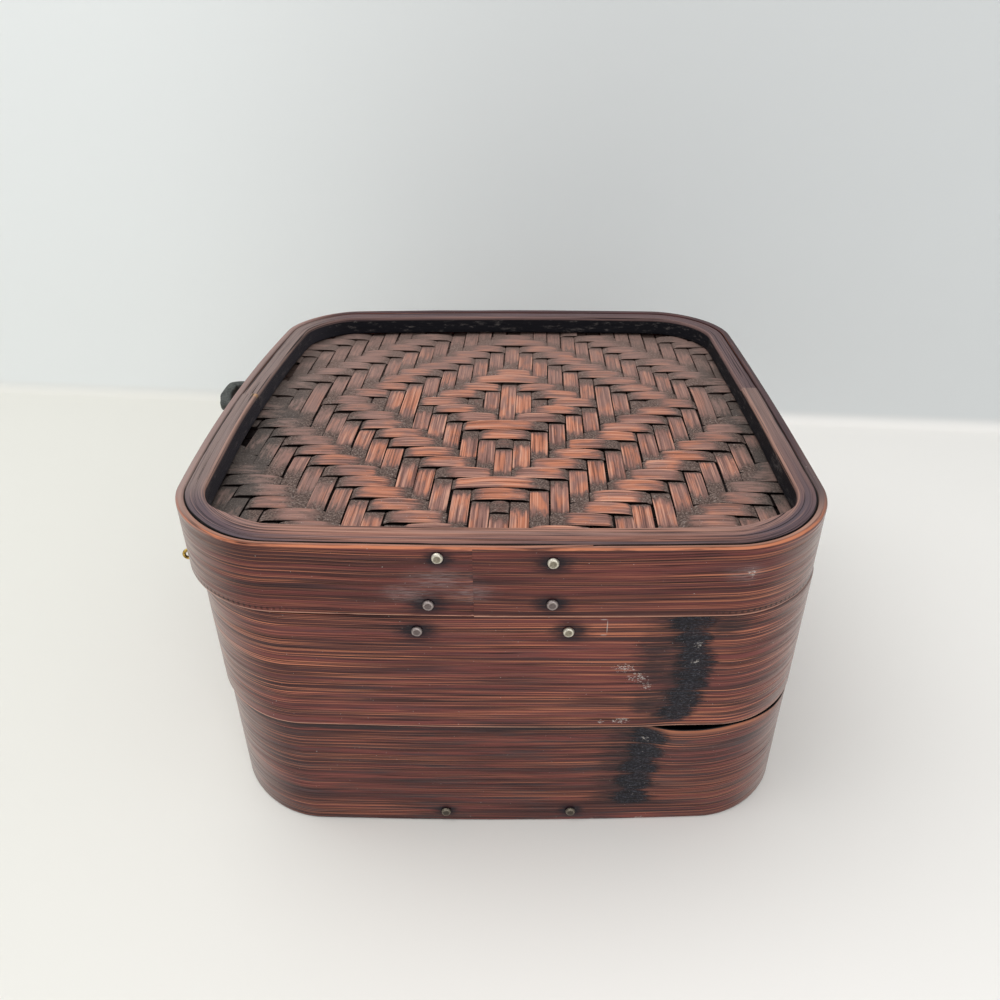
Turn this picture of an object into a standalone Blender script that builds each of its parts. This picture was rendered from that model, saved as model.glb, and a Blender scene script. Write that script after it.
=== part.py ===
"""Stacked bamboo food basket: two bentwood tiers and a lid with a woven panel, lengths in metres, +Z up."""

import math

import bmesh
import bpy
from mathutils import Matrix, Vector

# Outline of the lid, a rounded square whose sides bow outwards, the left one most.
LID_WIDTH = 0.2000
LID_DEPTH = 0.2010
RIGHT_BOW = 0.0017
LEFT_BOW = 0.0063
BACK_BOW = 0.0036
FRONT_BOW = 0.0029
FRONT_RIGHT_RADIUS = 0.0335
BACK_RIGHT_RADIUS = 0.0310
BACK_LEFT_RADIUS = 0.0260
FRONT_LEFT_RADIUS = 0.0320

# Heights of the stacked bands, from the table up.
LOWER_HEIGHT = 0.0477
UPPER_HEIGHT = 0.0465
LID_HEIGHT = 0.0245

# The bent bands.
BAND_WALL = 0.0024
LID_OVERHANG = 0.0015
EDGE_ROUND = 0.0006
THIN_CUT_SHARE = 0.25
LAP_LENGTH = 0.034
LAP_FEATHER = 0.0004
LID_LAP_X = 0.0091
EDGE_WARP = 0.0011
WARP_LENGTH = 0.075

# The hoops inside the bands.
HOOP_THICK = 0.0026
HOOP_ROUND = 0.0004
BASE_HOOP_HEIGHT = 0.0090
FLOOR_HOOP_HEIGHT = 0.0092
RIM_THICK = 0.0063
RIM_HEIGHT = 0.0087
RIM_STEP = 0.0005
RIM_JOINT_RIGHT_Y = 0.0102
RIM_JOINT_LEFT_Y = 0.0030

# The woven floors and the woven lid panel, as flat mats.
FLOOR_THICK = 0.0018
PANEL_THICK = 0.0022

# The collar that locates what stands on a tier.
COLLAR_DEPTH = 0.0120
LIP_THICK = 0.0022
LIP_RISE = 0.0060
NEST_PLAY = 0.0026

# Where the pieces have settled, as shares of the play that they have, and how far they are turned.
UPPER_SETTLE_Y_SHARE = -0.65
LID_SETTLE_X_SHARE = -0.366
LID_SETTLE_Y_SHARE = 0.12
LOWER_TWIST = math.radians(1.1)
UPPER_TWIST = math.radians(0.5)

# Tacks with low domed heads. Each is placed across the front and from an edge of its band.
TACK_HEAD_RADIUS = 0.00172
TACK_DOME = 0.00085
TACK_SHANK_RADIUS = 0.00055
TACK_LENGTH = 0.0046
TACK_POINT = 0.0012
LID_TOP_TACK_LEFT_X = -0.0178
LID_TOP_TACK_RIGHT_X = 0.0149
LID_TOP_TACK_LEFT_DROP = 0.0029
LID_TOP_TACK_RIGHT_DROP = 0.0043
LID_LOW_TACK_LEFT_X = -0.0212
LID_LOW_TACK_RIGHT_X = 0.0150
LID_LOW_TACK_LEFT_RISE = 0.0048
LID_LOW_TACK_RIGHT_RISE = 0.0054
UPPER_TACK_LEFT_X = -0.0276
UPPER_TACK_RIGHT_X = 0.0178
UPPER_TACK_DROP = 0.0055
LOWER_TACK_LEFT_X = -0.0233
LOWER_TACK_RIGHT_X = 0.0205
LOWER_TACK_RISE = 0.0053

# The strap loop on the lid's left wall, its two ends let into slots in the band.
LOOP_STRAP = 0.0028
LOOP_HEIGHT = 0.0032
LOOP_STAND = 0.0042
LOOP_SPAN = 0.0245
LOOP_SLANT = 0.0095
LOOP_BEND = 0.0018
LOOP_DROP = 0.0018
LOOP_MIDDLE_Y = 0.0078

# The brass eye at the lid's front left corner.
EYE_HEIGHT = 0.0042
EYE_STAND = 0.0018
EYE_WIRE_RADIUS = 0.00055
EYE_LEG = 0.0042
EYE_RISE = 0.0030
EYE_CORNER_SHARE = 0.15

# Clearances: what rests or fits on a neighbour, and how far a cutter runs past a face.
GAP = 0.0003
CUT_OVERRUN = 0.0010
WELD = 0.00001

# Facets and turns.
CORNER_STEPS = 8
SIDE_STEPS = 5
LAP_STEPS = 4
TURN_STEPS = 16
HOLE_FACETS = 8
DOME_STEPS = 4
BEND_STEPS = 4
EYE_STEPS = 10
WIRE_FACETS = 2
BOW_POWER = 6
SMOOTH_ANGLE = math.radians(35)
HALF_TURN = math.pi
QUARTER_TURN = math.pi / 2

# Colours as (red, green, blue), roughness, metallic.
BAND_FINISH = ((0.16, 0.055, 0.035), 0.42, 0.0)
HOOP_FINISH = ((0.15, 0.075, 0.055), 0.55, 0.0)
WEAVE_FINISH = ((0.19, 0.075, 0.045), 0.60, 0.0)
TACK_FINISH = ((0.45, 0.43, 0.38), 0.38, 1.0)
BRASS_FINISH = ((0.45, 0.36, 0.17), 0.40, 1.0)
LEATHER_FINISH = ((0.055, 0.058, 0.052), 0.60, 0.0)

# Derived places.
UPPER_BASE = LOWER_HEIGHT + GAP
UPPER_TOP = UPPER_BASE + UPPER_HEIGHT
LID_BASE = UPPER_TOP + GAP
LID_TOP = LID_BASE + LID_HEIGHT
PANEL_TOP = LID_TOP - RIM_HEIGHT - GAP
LIP_INSET = BAND_WALL + GAP + HOOP_THICK + NEST_PLAY
COLLAR_INSET = LIP_INSET + LIP_THICK
LID_PLAY = NEST_PLAY + LID_OVERHANG
UPPER_SETTLE_Y = UPPER_SETTLE_Y_SHARE * NEST_PLAY
LID_SETTLE_X = LID_SETTLE_X_SHARE * LID_PLAY
LID_SETTLE_Y = UPPER_SETTLE_Y + LID_SETTLE_Y_SHARE * LID_PLAY
LEFT_REACH = LID_WIDTH / 2 + LEFT_BOW - LID_SETTLE_X + GAP + LOOP_STAND + LOOP_STRAP
RIGHT_REACH = LID_WIDTH / 2 - LID_OVERHANG + RIGHT_BOW
FRONT_REACH = LID_DEPTH / 2 + FRONT_BOW - LID_SETTLE_Y + GAP + TACK_DOME
BACK_REACH = LID_DEPTH / 2 + BACK_BOW + LID_SETTLE_Y
CENTRE_X = (LEFT_REACH - RIGHT_REACH) / 2
CENTRE_Y = (FRONT_REACH - BACK_REACH) / 2


def clear_scene():
    for obj in list(bpy.data.objects):
        bpy.data.objects.remove(obj, do_unlink=True)


def collection(name):
    made = bpy.data.collections.new(name)
    bpy.context.scene.collection.children.link(made)
    return made


def material(name, finish):
    colour, roughness, metallic = finish
    made = bpy.data.materials.new(name)
    made.use_nodes = True
    shader = made.node_tree.nodes["Principled BSDF"]
    shader.inputs["Base Color"].default_value = (*colour, 1)
    shader.inputs["Roughness"].default_value = roughness
    shader.inputs["Metallic"].default_value = metallic
    return made


class Outline:
    """The rounded square that every band and hoop follows, walked anticlockwise from the front's middle."""

    def __init__(self, width, depth, radii):
        self.half = Vector((width / 2, depth / 2))
        self.pieces = []
        corners = ((1, -1), (1, 1), (-1, 1), (-1, -1))
        start = Vector((0, -self.half.y))
        for turn, ((side_x, side_y), radius) in enumerate(zip(corners, radii)):
            centre = Vector((side_x * (self.half.x - radius), side_y * (self.half.y - radius)))
            angle = (turn - 1) * QUARTER_TURN
            normal = Vector((math.cos(angle), math.sin(angle)))
            end = centre + radius * normal
            self.pieces.append(("side", (end - start).length, start, end, normal))
            self.pieces.append(("corner", radius * QUARTER_TURN, centre, radius, angle))
            start = centre + radius * Vector((math.cos(angle + QUARTER_TURN), math.sin(angle + QUARTER_TURN)))
        end = Vector((0, -self.half.y))
        self.pieces.append(("side", (end - start).length, start, end, Vector((0, -1))))
        self.length = sum(piece[1] for piece in self.pieces)

    def locate(self, walk):
        """The point on the outline at this distance, and the outward direction there."""
        walk = walk % self.length
        for kind, length, first, second, third in self.pieces:
            if walk <= length:
                break
            walk -= length
        if kind == "side":
            point = first.lerp(second, walk / length)
            normal = third
        else:
            angle = third + walk / second
            normal = Vector((math.cos(angle), math.sin(angle)))
            point = first + second * normal
        return point, normal

    def at(self, walk, inset):
        """A point this far inside the outline, with the bow of the sides added."""
        point, normal = self.locate(walk)
        share = Vector((point.x / self.half.x, point.y / self.half.y))
        bow_x = RIGHT_BOW if share.x > 0 else -LEFT_BOW
        bow_y = BACK_BOW if share.y > 0 else -FRONT_BOW
        bow_x *= share.x**BOW_POWER * (1 - min(1, share.y**2))
        bow_y *= share.y**BOW_POWER * (1 - min(1, share.x**2))
        return point - inset * normal + Vector((bow_x, bow_y))

    def stations(self):
        """Distances round the outline: even steps along each side and each corner."""
        found = []
        walked = 0
        for kind, length, *_ in self.pieces:
            steps = CORNER_STEPS if kind == "corner" else SIDE_STEPS
            found += [walked + length * step / steps for step in range(steps)]
            walked += length
        return found

    def walk_to(self, wanted, y):
        """The distance at which this piece of the outline, a right or left side, passes this y."""
        walked = sum(piece[1] for piece in self.pieces[:wanted])
        _, length, first, second, _ = self.pieces[wanted]
        return walked + length * (y - first.y) / (second.y - first.y)


# The places of the outline's pieces in its list.
RIGHT_SIDE = 2
LEFT_SIDE = 6
FRONT_LEFT_CORNER = 7

LID_RADII = (FRONT_RIGHT_RADIUS, BACK_RIGHT_RADIUS, BACK_LEFT_RADIUS, FRONT_LEFT_RADIUS)
TIER_RADII = tuple(radius - LID_OVERHANG for radius in LID_RADII)
LID_OUTLINE = Outline(LID_WIDTH, LID_DEPTH, LID_RADII)
TIER_OUTLINE = Outline(LID_WIDTH - 2 * LID_OVERHANG, LID_DEPTH - 2 * LID_OVERHANG, TIER_RADII)


def place(obj, kit, finish, body, matrix=None):
    kit["parts"].objects.link(obj)
    obj.data.materials.append(kit[finish])
    obj.parent = body
    if matrix:
        obj.matrix_basis = matrix


def mesh_object(name, build):
    mesh = bpy.data.meshes.new(name)
    work = bmesh.new()
    build(work)
    bmesh.ops.recalc_face_normals(work, faces=work.faces)
    work.to_mesh(mesh)
    work.free()
    return bpy.data.objects.new(name, mesh)


def smooth(obj):
    obj.data.shade_smooth()
    obj.data.set_sharp_from_angle(angle=SMOOTH_ANGLE)
    return obj


def skin(work, rings, closed):
    """Faces between each ring of corners and the next, and caps on the ends of an open strip."""
    pairs = list(zip(rings, rings[1:]))
    if closed:
        pairs.append((rings[-1], rings[0]))
    else:
        work.faces.new(rings[0])
        work.faces.new(rings[-1])
    for first, second in pairs:
        for index in range(len(first)):
            following = (index + 1) % len(first)
            work.faces.new((first[index], first[following], second[following], second[index]))


def loft(name, outline, walks, section, closed):
    """A hoop of any section: section(walk) gives its corners as (inset, height), in order round the section."""

    def build(work):
        rings = []
        for walk in walks:
            corners = [(outline.at(walk, inset), height) for inset, height in section(walk)]
            rings.append([work.verts.new((point.x, point.y, height)) for point, height in corners])
        skin(work, rings, closed)

    return smooth(mesh_object(name, build))


def rounded_section(outer, inner, bottom, top, rounding):
    """A rectangle with cut corners, as (inset, height) points. A thin one has smaller cuts."""
    cut = min(rounding, (inner - outer) * THIN_CUT_SHARE)
    return [
        (outer, bottom + cut),
        (outer, top - cut),
        (outer + cut, top),
        (inner - cut, top),
        (inner, top - cut),
        (inner, bottom + cut),
        (inner - cut, bottom),
        (outer + cut, bottom),
    ]


def ramp(value, start, end, low, high):
    share = min(1, max(0, (value - start) / (end - start)))
    return low + (high - low) * share


def lapped_band(name, outline, lap_middle, bottom, top, lift=None):
    """A bent band: one strip whose ends are pared thin and lie over each other at the lap."""
    first = lap_middle - LAP_LENGTH / 2
    last = lap_middle + LAP_LENGTH / 2
    around = outline.length
    inner_thin = BAND_WALL - LAP_FEATHER

    def section(walk):
        outer = 0
        inner = BAND_WALL
        if walk <= last:
            inner = ramp(walk, first, last, LAP_FEATHER, inner_thin - GAP)
        if walk >= first + around:
            outer = ramp(walk, first + around, last + around, LAP_FEATHER + GAP, inner_thin)
        raised = bottom + (lift(walk % around) if lift else 0)
        return rounded_section(outer, inner, raised, top, EDGE_ROUND)

    lap = [first + LAP_LENGTH * step / LAP_STEPS for step in range(LAP_STEPS + 1)]
    body = [walk for walk in twice_round(outline) if last + 2 * GAP < walk < first + around - 2 * GAP]
    walks = lap + [last + GAP] + body + [first + around - GAP] + [walk + around for walk in lap]
    return loft(name, outline, walks, section, closed=False)


def twice_round(outline):
    """The outline's steps for two turns, for strips that cross the front's middle."""
    return outline.stations() + [walk + outline.length for walk in outline.stations()]


def ring(name, outline, outer, inner, bottom, top):
    """A plain hoop of square-edged section."""
    corners = [(outer, bottom), (outer, top), (inner, top), (inner, bottom)]
    return loft(name, outline, outline.stations(), lambda walk: corners, closed=True)


def half_ring(name, outline, start, end, outer, inner, bottom, top):
    """Part of a hoop, between two distances round the outline."""
    inside = [walk for walk in twice_round(outline) if start + GAP < walk < end - GAP]
    return loft(
        name,
        outline,
        [start] + inside + [end],
        lambda walk: rounded_section(outer, inner, bottom, top, HOOP_ROUND),
        closed=False,
    )


def collar(name, outline, edge):
    """A thick hoop let into a tier, whose pared lip stands above the tier's edge."""
    outer = BAND_WALL + GAP
    shoulder = edge - EDGE_ROUND

    def section(walk):
        return [
            (outer, edge - COLLAR_DEPTH),
            (outer, shoulder),
            (LIP_INSET, shoulder),
            (LIP_INSET, edge + LIP_RISE - HOOP_ROUND),
            (LIP_INSET + HOOP_ROUND, edge + LIP_RISE),
            (COLLAR_INSET - HOOP_ROUND, edge + LIP_RISE),
            (COLLAR_INSET, edge + LIP_RISE - HOOP_ROUND),
            (COLLAR_INSET, edge - COLLAR_DEPTH),
        ]

    return loft(name, outline, outline.stations(), section, closed=True)


def mat(name, outline, inset, bottom, thickness):
    """A flat woven mat as a plain sheet: the filled outline, extruded."""
    points = [outline.at(walk, inset) for walk in outline.stations()]
    curve = bpy.data.curves.new(name, "CURVE")
    curve.dimensions = "2D"
    curve.fill_mode = "BOTH"
    curve.extrude = thickness / 2
    spline = curve.splines.new("POLY")
    spline.points.add(len(points) - 1)
    for target, point in zip(spline.points, points):
        target.co = (point.x, point.y, 0, 1)
    spline.use_cyclic_u = True
    obj = bpy.data.objects.new(name, curve)
    obj.location.z = bottom + thickness / 2
    return obj


def screw_object(name, profile):
    """A turned piece from (radius, height) points, top to bottom."""

    def build(work):
        verts = [work.verts.new((radius, 0, height)) for radius, height in profile]
        for first, second in zip(verts, verts[1:]):
            work.edges.new((first, second))

    obj = mesh_object(name, build)
    turn = obj.modifiers.new("turn", "SCREW")
    turn.steps = TURN_STEPS
    turn.render_steps = TURN_STEPS
    turn.use_merge_vertices = True
    turn.merge_threshold = WELD
    turn.use_smooth_shade = True
    return obj


def tack(name):
    """A tack with its head towards +Z and its origin under the head."""
    profile = []
    for step in range(DOME_STEPS + 1):
        angle = QUARTER_TURN * step / DOME_STEPS
        profile.append((TACK_HEAD_RADIUS * math.sin(angle), GAP + TACK_DOME * math.cos(angle)))
    profile.append((TACK_SHANK_RADIUS, GAP))
    profile.append((TACK_SHANK_RADIUS, TACK_POINT - TACK_LENGTH))
    profile.append((0, -TACK_LENGTH))
    return screw_object(name, profile)


def wire(name, points, radius):
    """A round wire along these points, as a curve with a bevel."""
    curve = bpy.data.curves.new(name, "CURVE")
    curve.dimensions = "3D"
    curve.bevel_depth = radius
    curve.bevel_resolution = WIRE_FACETS
    curve.use_fill_caps = True
    spline = curve.splines.new("POLY")
    spline.points.add(len(points) - 1)
    for target, point in zip(spline.points, points):
        target.co = (*point, 1)
    return bpy.data.objects.new(name, curve)


def facing(normal):
    """The rotation that turns +Z to this level outward direction, with +X still level."""
    across = Vector((-normal.y, normal.x, 0))
    out = Vector((normal.x, normal.y, 0))
    return Matrix((across, Vector((0, 0, 1)), out)).transposed()


def cutter(name, kit, radius, matrix, depth):
    """A rod that drills along the matrix's Z axis, from above the face to this depth below it."""
    length = depth + CUT_OVERRUN

    def build(work):
        bmesh.ops.create_cone(
            work, cap_ends=True, segments=HOLE_FACETS, radius1=radius, radius2=radius, depth=length
        )
        bmesh.ops.translate(work, verts=work.verts, vec=(0, 0, CUT_OVERRUN - length / 2))

    return place_cutter(mesh_object(name, build), kit, matrix)


def place_cutter(obj, kit, matrix):
    obj.hide_render = True
    obj.display_type = "WIRE"
    obj.matrix_world = matrix
    kit["cutters"].objects.link(obj)
    return obj


def drill(obj, tool):
    cut = obj.modifiers.new(tool.name, "BOOLEAN")
    cut.operation = "DIFFERENCE"
    cut.object = tool


def on_front(outline, x):
    """The distance round the outline at which the front passes this x."""
    return x % outline.length


def wall_matrix(outline, walk, height):
    """A frame on the band's face: +Z outwards, +Y up."""
    point = outline.at(walk, 0)
    normal = outline.locate(walk)[1]
    return Matrix.Translation((point.x, point.y, height)) @ facing(normal).to_4x4()


def add_tack(name, outline, x, height, kit, body, pierced):
    """A tack in the face, with a clear hole for its shank in each piece that it goes through."""
    matrix = wall_matrix(outline, on_front(outline, x), height)
    obj = tack(name)
    place(obj, kit, "tack", body, matrix)
    hole = TACK_SHANK_RADIUS + GAP
    tool = cutter(name + "_hole", kit, hole, body.matrix_basis @ matrix, TACK_LENGTH + GAP)
    for piece in pierced:
        drill(piece, tool)


def body_empty(name, kit, location, twist):
    empty = bpy.data.objects.new(name, None)
    kit["parts"].objects.link(empty)
    empty.location = location
    empty.rotation_euler.z = twist
    return empty


def warp_lift(walk):
    """How far the upper band's lower edge has curled up round the front right corner."""
    corner = TIER_OUTLINE.pieces[0][1] + TIER_OUTLINE.pieces[1][1] / 2
    share = abs(walk - corner) / WARP_LENGTH
    if share >= 1:
        return 0
    return EDGE_WARP * (1 + math.cos(HALF_TURN * share)) / 2


def build_lower_tier(kit, body):
    back = TIER_OUTLINE.length / 2
    inside = BAND_WALL + GAP
    band = lapped_band("lower_band", TIER_OUTLINE, back, 0, LOWER_HEIGHT)
    hoop = ring("lower_base_hoop", TIER_OUTLINE, inside, inside + HOOP_THICK, 0, BASE_HOOP_HEIGHT)
    floor = mat("lower_floor", TIER_OUTLINE, inside, BASE_HOOP_HEIGHT + GAP, FLOOR_THICK)
    lip = collar("lower_collar", TIER_OUTLINE, LOWER_HEIGHT)
    place(band, kit, "band", body)
    place(hoop, kit, "hoop", body)
    place(floor, kit, "weave", body)
    place(lip, kit, "hoop", body)
    for side, x in (("left", LOWER_TACK_LEFT_X), ("right", LOWER_TACK_RIGHT_X)):
        add_tack("lower_tack_" + side, TIER_OUTLINE, x, LOWER_TACK_RISE, kit, body, (band, hoop))


def build_upper_tier(kit, body):
    back = TIER_OUTLINE.length / 2
    inside = BAND_WALL + GAP
    hoop_top = UPPER_BASE + FLOOR_HOOP_HEIGHT
    band = lapped_band("upper_band", TIER_OUTLINE, back, UPPER_BASE, UPPER_TOP, warp_lift)
    hoop = ring("upper_floor_hoop", TIER_OUTLINE, inside, inside + HOOP_THICK, UPPER_BASE, hoop_top)
    floor = mat("upper_floor", TIER_OUTLINE, inside, hoop_top + GAP, FLOOR_THICK)
    lip = collar("upper_collar", TIER_OUTLINE, UPPER_TOP)
    place(band, kit, "band", body)
    place(hoop, kit, "hoop", body)
    place(floor, kit, "weave", body)
    place(lip, kit, "hoop", body)
    for side, x in (("left", UPPER_TACK_LEFT_X), ("right", UPPER_TACK_RIGHT_X)):
        add_tack("upper_tack_" + side, TIER_OUTLINE, x, UPPER_TOP - UPPER_TACK_DROP, kit, body, (band, lip))


def build_lid(kit, body):
    inside = BAND_WALL + GAP
    rim_inner = inside + RIM_THICK
    rim_base = PANEL_TOP + GAP
    hoop_top = PANEL_TOP - PANEL_THICK - GAP
    right = LID_OUTLINE.walk_to(RIGHT_SIDE, RIM_JOINT_RIGHT_Y)
    left = LID_OUTLINE.walk_to(LEFT_SIDE, RIM_JOINT_LEFT_Y)
    front_walks = (left + GAP / 2, right + LID_OUTLINE.length - GAP / 2)
    back_walks = (right + GAP / 2, left - GAP / 2)
    band = lapped_band("lid_band", LID_OUTLINE, LID_LAP_X, LID_BASE, LID_TOP)
    front = half_ring("lid_rim_front", LID_OUTLINE, *front_walks, inside, rim_inner, rim_base, LID_TOP)
    back = half_ring("lid_rim_back", LID_OUTLINE, *back_walks, inside, rim_inner, rim_base, LID_TOP - RIM_STEP)
    panel = mat("lid_woven_panel", LID_OUTLINE, inside, PANEL_TOP - PANEL_THICK, PANEL_THICK)
    hoop = ring("lid_lower_hoop", LID_OUTLINE, inside, inside + HOOP_THICK, LID_BASE, hoop_top)
    place(band, kit, "band", body)
    place(front, kit, "hoop", body)
    place(back, kit, "hoop", body)
    place(panel, kit, "weave", body)
    place(hoop, kit, "hoop", body)
    tacks = (
        ("lid_top_tack_left", LID_TOP_TACK_LEFT_X, LID_TOP - LID_TOP_TACK_LEFT_DROP, front),
        ("lid_top_tack_right", LID_TOP_TACK_RIGHT_X, LID_TOP - LID_TOP_TACK_RIGHT_DROP, front),
        ("lid_low_tack_left", LID_LOW_TACK_LEFT_X, LID_BASE + LID_LOW_TACK_LEFT_RISE, hoop),
        ("lid_low_tack_right", LID_LOW_TACK_RIGHT_X, LID_BASE + LID_LOW_TACK_RIGHT_RISE, hoop),
    )
    for name, x, height, behind in tacks:
        add_tack(name, LID_OUTLINE, x, height, kit, body, (band, behind))
    build_loop(kit, body, band)
    build_eye(kit, body, (band, hoop))


def rounded_path(corners, radius):
    """The corners of a bent strip, each inner one turned into a short arc."""
    path = [corners[0]]
    for before, corner, after in zip(corners, corners[1:], corners[2:]):
        arrive = (corner - before).normalized()
        leave = (after - corner).normalized()
        turn = math.atan2(arrive.cross(leave), arrive.dot(leave))
        start = corner - arrive * radius * math.tan(abs(turn) / 2)
        spoke = Vector((arrive.y, -arrive.x)) * math.copysign(radius, turn)
        for step in range(BEND_STEPS + 1):
            path.append(start - spoke + Matrix.Rotation(turn * step / BEND_STEPS, 2) @ spoke)
    return path + [corners[-1]]


def bent_strap(name, path, thickness, height):
    """A strap that follows a path seen from above, given as (along, out) points."""

    def build(work):
        rings = []
        for index, centre in enumerate(path):
            before = path[max(0, index - 1)]
            after = path[min(len(path) - 1, index + 1)]
            run = (after - before).normalized()
            side = Vector((-run.y, run.x)) * thickness / 2
            spots = ((centre - side, -1), (centre + side, -1), (centre + side, 1), (centre - side, 1))
            rings.append([work.verts.new((spot.x, level * height / 2, spot.y)) for spot, level in spots])
        skin(work, rings, closed=False)

    return smooth(mesh_object(name, build))


def slot_cutter(name, kit, matrix, width, height, depth):
    """A block that cuts a slot along the matrix's Z axis, from above the face to this depth below it."""
    length = depth + CUT_OVERRUN

    def build(work):
        bmesh.ops.create_cube(work, size=1)
        bmesh.ops.scale(work, verts=work.verts, vec=(width, height, length))
        bmesh.ops.translate(work, verts=work.verts, vec=(0, 0, CUT_OVERRUN - length / 2))

    return place_cutter(mesh_object(name, build), kit, matrix)


def build_loop(kit, body, band):
    """The strap loop: out from the wall at a slant in front, along it, and square back to it behind."""
    walk = LID_OUTLINE.walk_to(LEFT_SIDE, LOOP_MIDDLE_Y)
    matrix = wall_matrix(LID_OUTLINE, walk, LID_TOP - LOOP_DROP - LOOP_HEIGHT / 2)
    half = LOOP_SPAN / 2
    near = GAP + LOOP_STRAP / 2
    far = near + LOOP_STAND
    corners = (
        Vector((-half, -BAND_WALL)),
        Vector((-half, far)),
        Vector((half - LOOP_SLANT, far)),
        Vector((half, near)),
        Vector((half, -BAND_WALL)),
    )
    loop = bent_strap("lid_strap_loop", rounded_path(corners, LOOP_BEND), LOOP_STRAP, LOOP_HEIGHT)
    place(loop, kit, "leather", body, matrix)
    for side, x in (("front", half), ("back", -half)):
        spot = body.matrix_basis @ matrix @ Matrix.Translation((x, 0, 0))
        size = (LOOP_STRAP + 2 * GAP, LOOP_HEIGHT + 2 * GAP, BAND_WALL + CUT_OVERRUN)
        drill(band, slot_cutter(f"loop_{side}_slot", kit, spot, *size))


def build_eye(kit, body, pierced):
    """The brass eye: a wire staple that stands upright, its two legs in the lid's wall."""
    corner_start = sum(piece[1] for piece in LID_OUTLINE.pieces[:FRONT_LEFT_CORNER])
    walk = corner_start + LID_OUTLINE.pieces[FRONT_LEFT_CORNER][1] * EYE_CORNER_SHARE
    matrix = wall_matrix(LID_OUTLINE, walk, LID_BASE + EYE_RISE)
    reach = EYE_HEIGHT / 2 - EYE_WIRE_RADIUS
    shoulder = EYE_STAND - EYE_WIRE_RADIUS - reach
    points = [(0, -reach, -EYE_LEG)]
    for step in range(EYE_STEPS + 1):
        angle = HALF_TURN * step / EYE_STEPS
        points.append((0, -reach * math.cos(angle), shoulder + reach * math.sin(angle)))
    points.append((0, reach, -EYE_LEG))
    place(wire("lid_brass_eye", points, EYE_WIRE_RADIUS), kit, "brass", body, matrix)
    for level, leg in ((-reach, "low"), (reach, "high")):
        spot = body.matrix_basis @ matrix @ Matrix.Translation((0, level, 0))
        tool = cutter(f"eye_leg_{leg}_hole", kit, EYE_WIRE_RADIUS + GAP, spot, EYE_LEG + GAP)
        for piece in pierced:
            drill(piece, tool)


def main():
    clear_scene()
    kit = {
        "parts": collection("tiered_bamboo_food_basket"),
        "cutters": collection("cutters"),
        "band": material("bent_bamboo_band", BAND_FINISH),
        "hoop": material("bamboo_hoop", HOOP_FINISH),
        "weave": material("woven_bamboo", WEAVE_FINISH),
        "tack": material("tack_metal", TACK_FINISH),
        "brass": material("aged_brass", BRASS_FINISH),
        "leather": material("dark_leather", LEATHER_FINISH),
    }
    build_lower_tier(kit, body_empty("lower_tier", kit, (CENTRE_X, CENTRE_Y, 0), LOWER_TWIST))
    build_upper_tier(kit, body_empty("upper_tier", kit, (CENTRE_X, CENTRE_Y + UPPER_SETTLE_Y, 0), UPPER_TWIST))
    build_lid(kit, body_empty("lid", kit, (CENTRE_X + LID_SETTLE_X, CENTRE_Y + LID_SETTLE_Y, 0), 0))


main()
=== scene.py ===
# %% [markdown]
# A tiered bamboo food basket
# Two bent bands of split bamboo stand on each other, and a lid with a woven panel closes them.
# The solids of the basket are loaded first, as a fixed frame. Every finer piece below takes the place of one
# of those solids, follows the same outline and the same heights, and moves with the same body.

import math

import bpy
import numpy as np
from mathutils import Matrix, Vector


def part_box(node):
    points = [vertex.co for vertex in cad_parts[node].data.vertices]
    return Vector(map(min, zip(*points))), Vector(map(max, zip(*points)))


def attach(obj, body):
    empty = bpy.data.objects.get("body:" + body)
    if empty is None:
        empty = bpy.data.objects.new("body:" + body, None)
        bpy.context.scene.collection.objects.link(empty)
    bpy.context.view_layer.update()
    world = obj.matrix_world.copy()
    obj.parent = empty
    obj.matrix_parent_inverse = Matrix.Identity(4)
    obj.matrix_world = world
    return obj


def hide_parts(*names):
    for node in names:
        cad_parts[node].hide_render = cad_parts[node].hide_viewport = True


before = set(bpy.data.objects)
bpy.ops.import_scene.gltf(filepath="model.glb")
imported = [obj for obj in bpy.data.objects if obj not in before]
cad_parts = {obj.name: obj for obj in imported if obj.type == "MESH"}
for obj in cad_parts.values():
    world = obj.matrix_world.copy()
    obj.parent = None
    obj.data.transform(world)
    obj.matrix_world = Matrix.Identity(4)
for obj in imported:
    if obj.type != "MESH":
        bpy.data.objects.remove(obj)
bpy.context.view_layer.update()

# %% [markdown]
# The camera
# A camera's aim can be given as three turns: a yaw about the vertical, a pitch down towards the table, and a
# small roll. The focal length is worked out in pixels of a square picture, so it becomes a lens length
# by the width of the film.

# %% Set up the camera
MM = 0.001
PICTURE_PIXELS = 1000
FOCAL_PIXELS = 825.71
FILM_WIDTH = 36.0
CAMERA_PLACE = Vector((10.701, -292.700, 250.961)) * MM
CAMERA_YAW = math.radians(1.4333)
CAMERA_PITCH = math.radians(31.3292)
CAMERA_ROLL = math.radians(0.4114)


def add_camera():
    turn = Matrix.Rotation(CAMERA_YAW, 3, "Z") @ Matrix.Rotation(-CAMERA_PITCH, 3, "X")
    turn = turn @ Matrix.Rotation(CAMERA_ROLL, 3, "Y")
    right, forward, up = turn.col
    data = bpy.data.cameras.new("camera")
    data.sensor_width = FILM_WIDTH
    data.lens = FOCAL_PIXELS * FILM_WIDTH / PICTURE_PIXELS
    data.clip_start = 0.01
    camera = bpy.data.objects.new("camera", data)
    camera.matrix_world = Matrix.Translation(CAMERA_PLACE) @ Matrix((right, up, -forward)).transposed().to_4x4()
    bpy.context.scene.collection.objects.link(camera)
    bpy.context.scene.camera = camera
    return camera


camera = add_camera()
print("lens length in mm:", round(camera.data.lens, 2))

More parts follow.
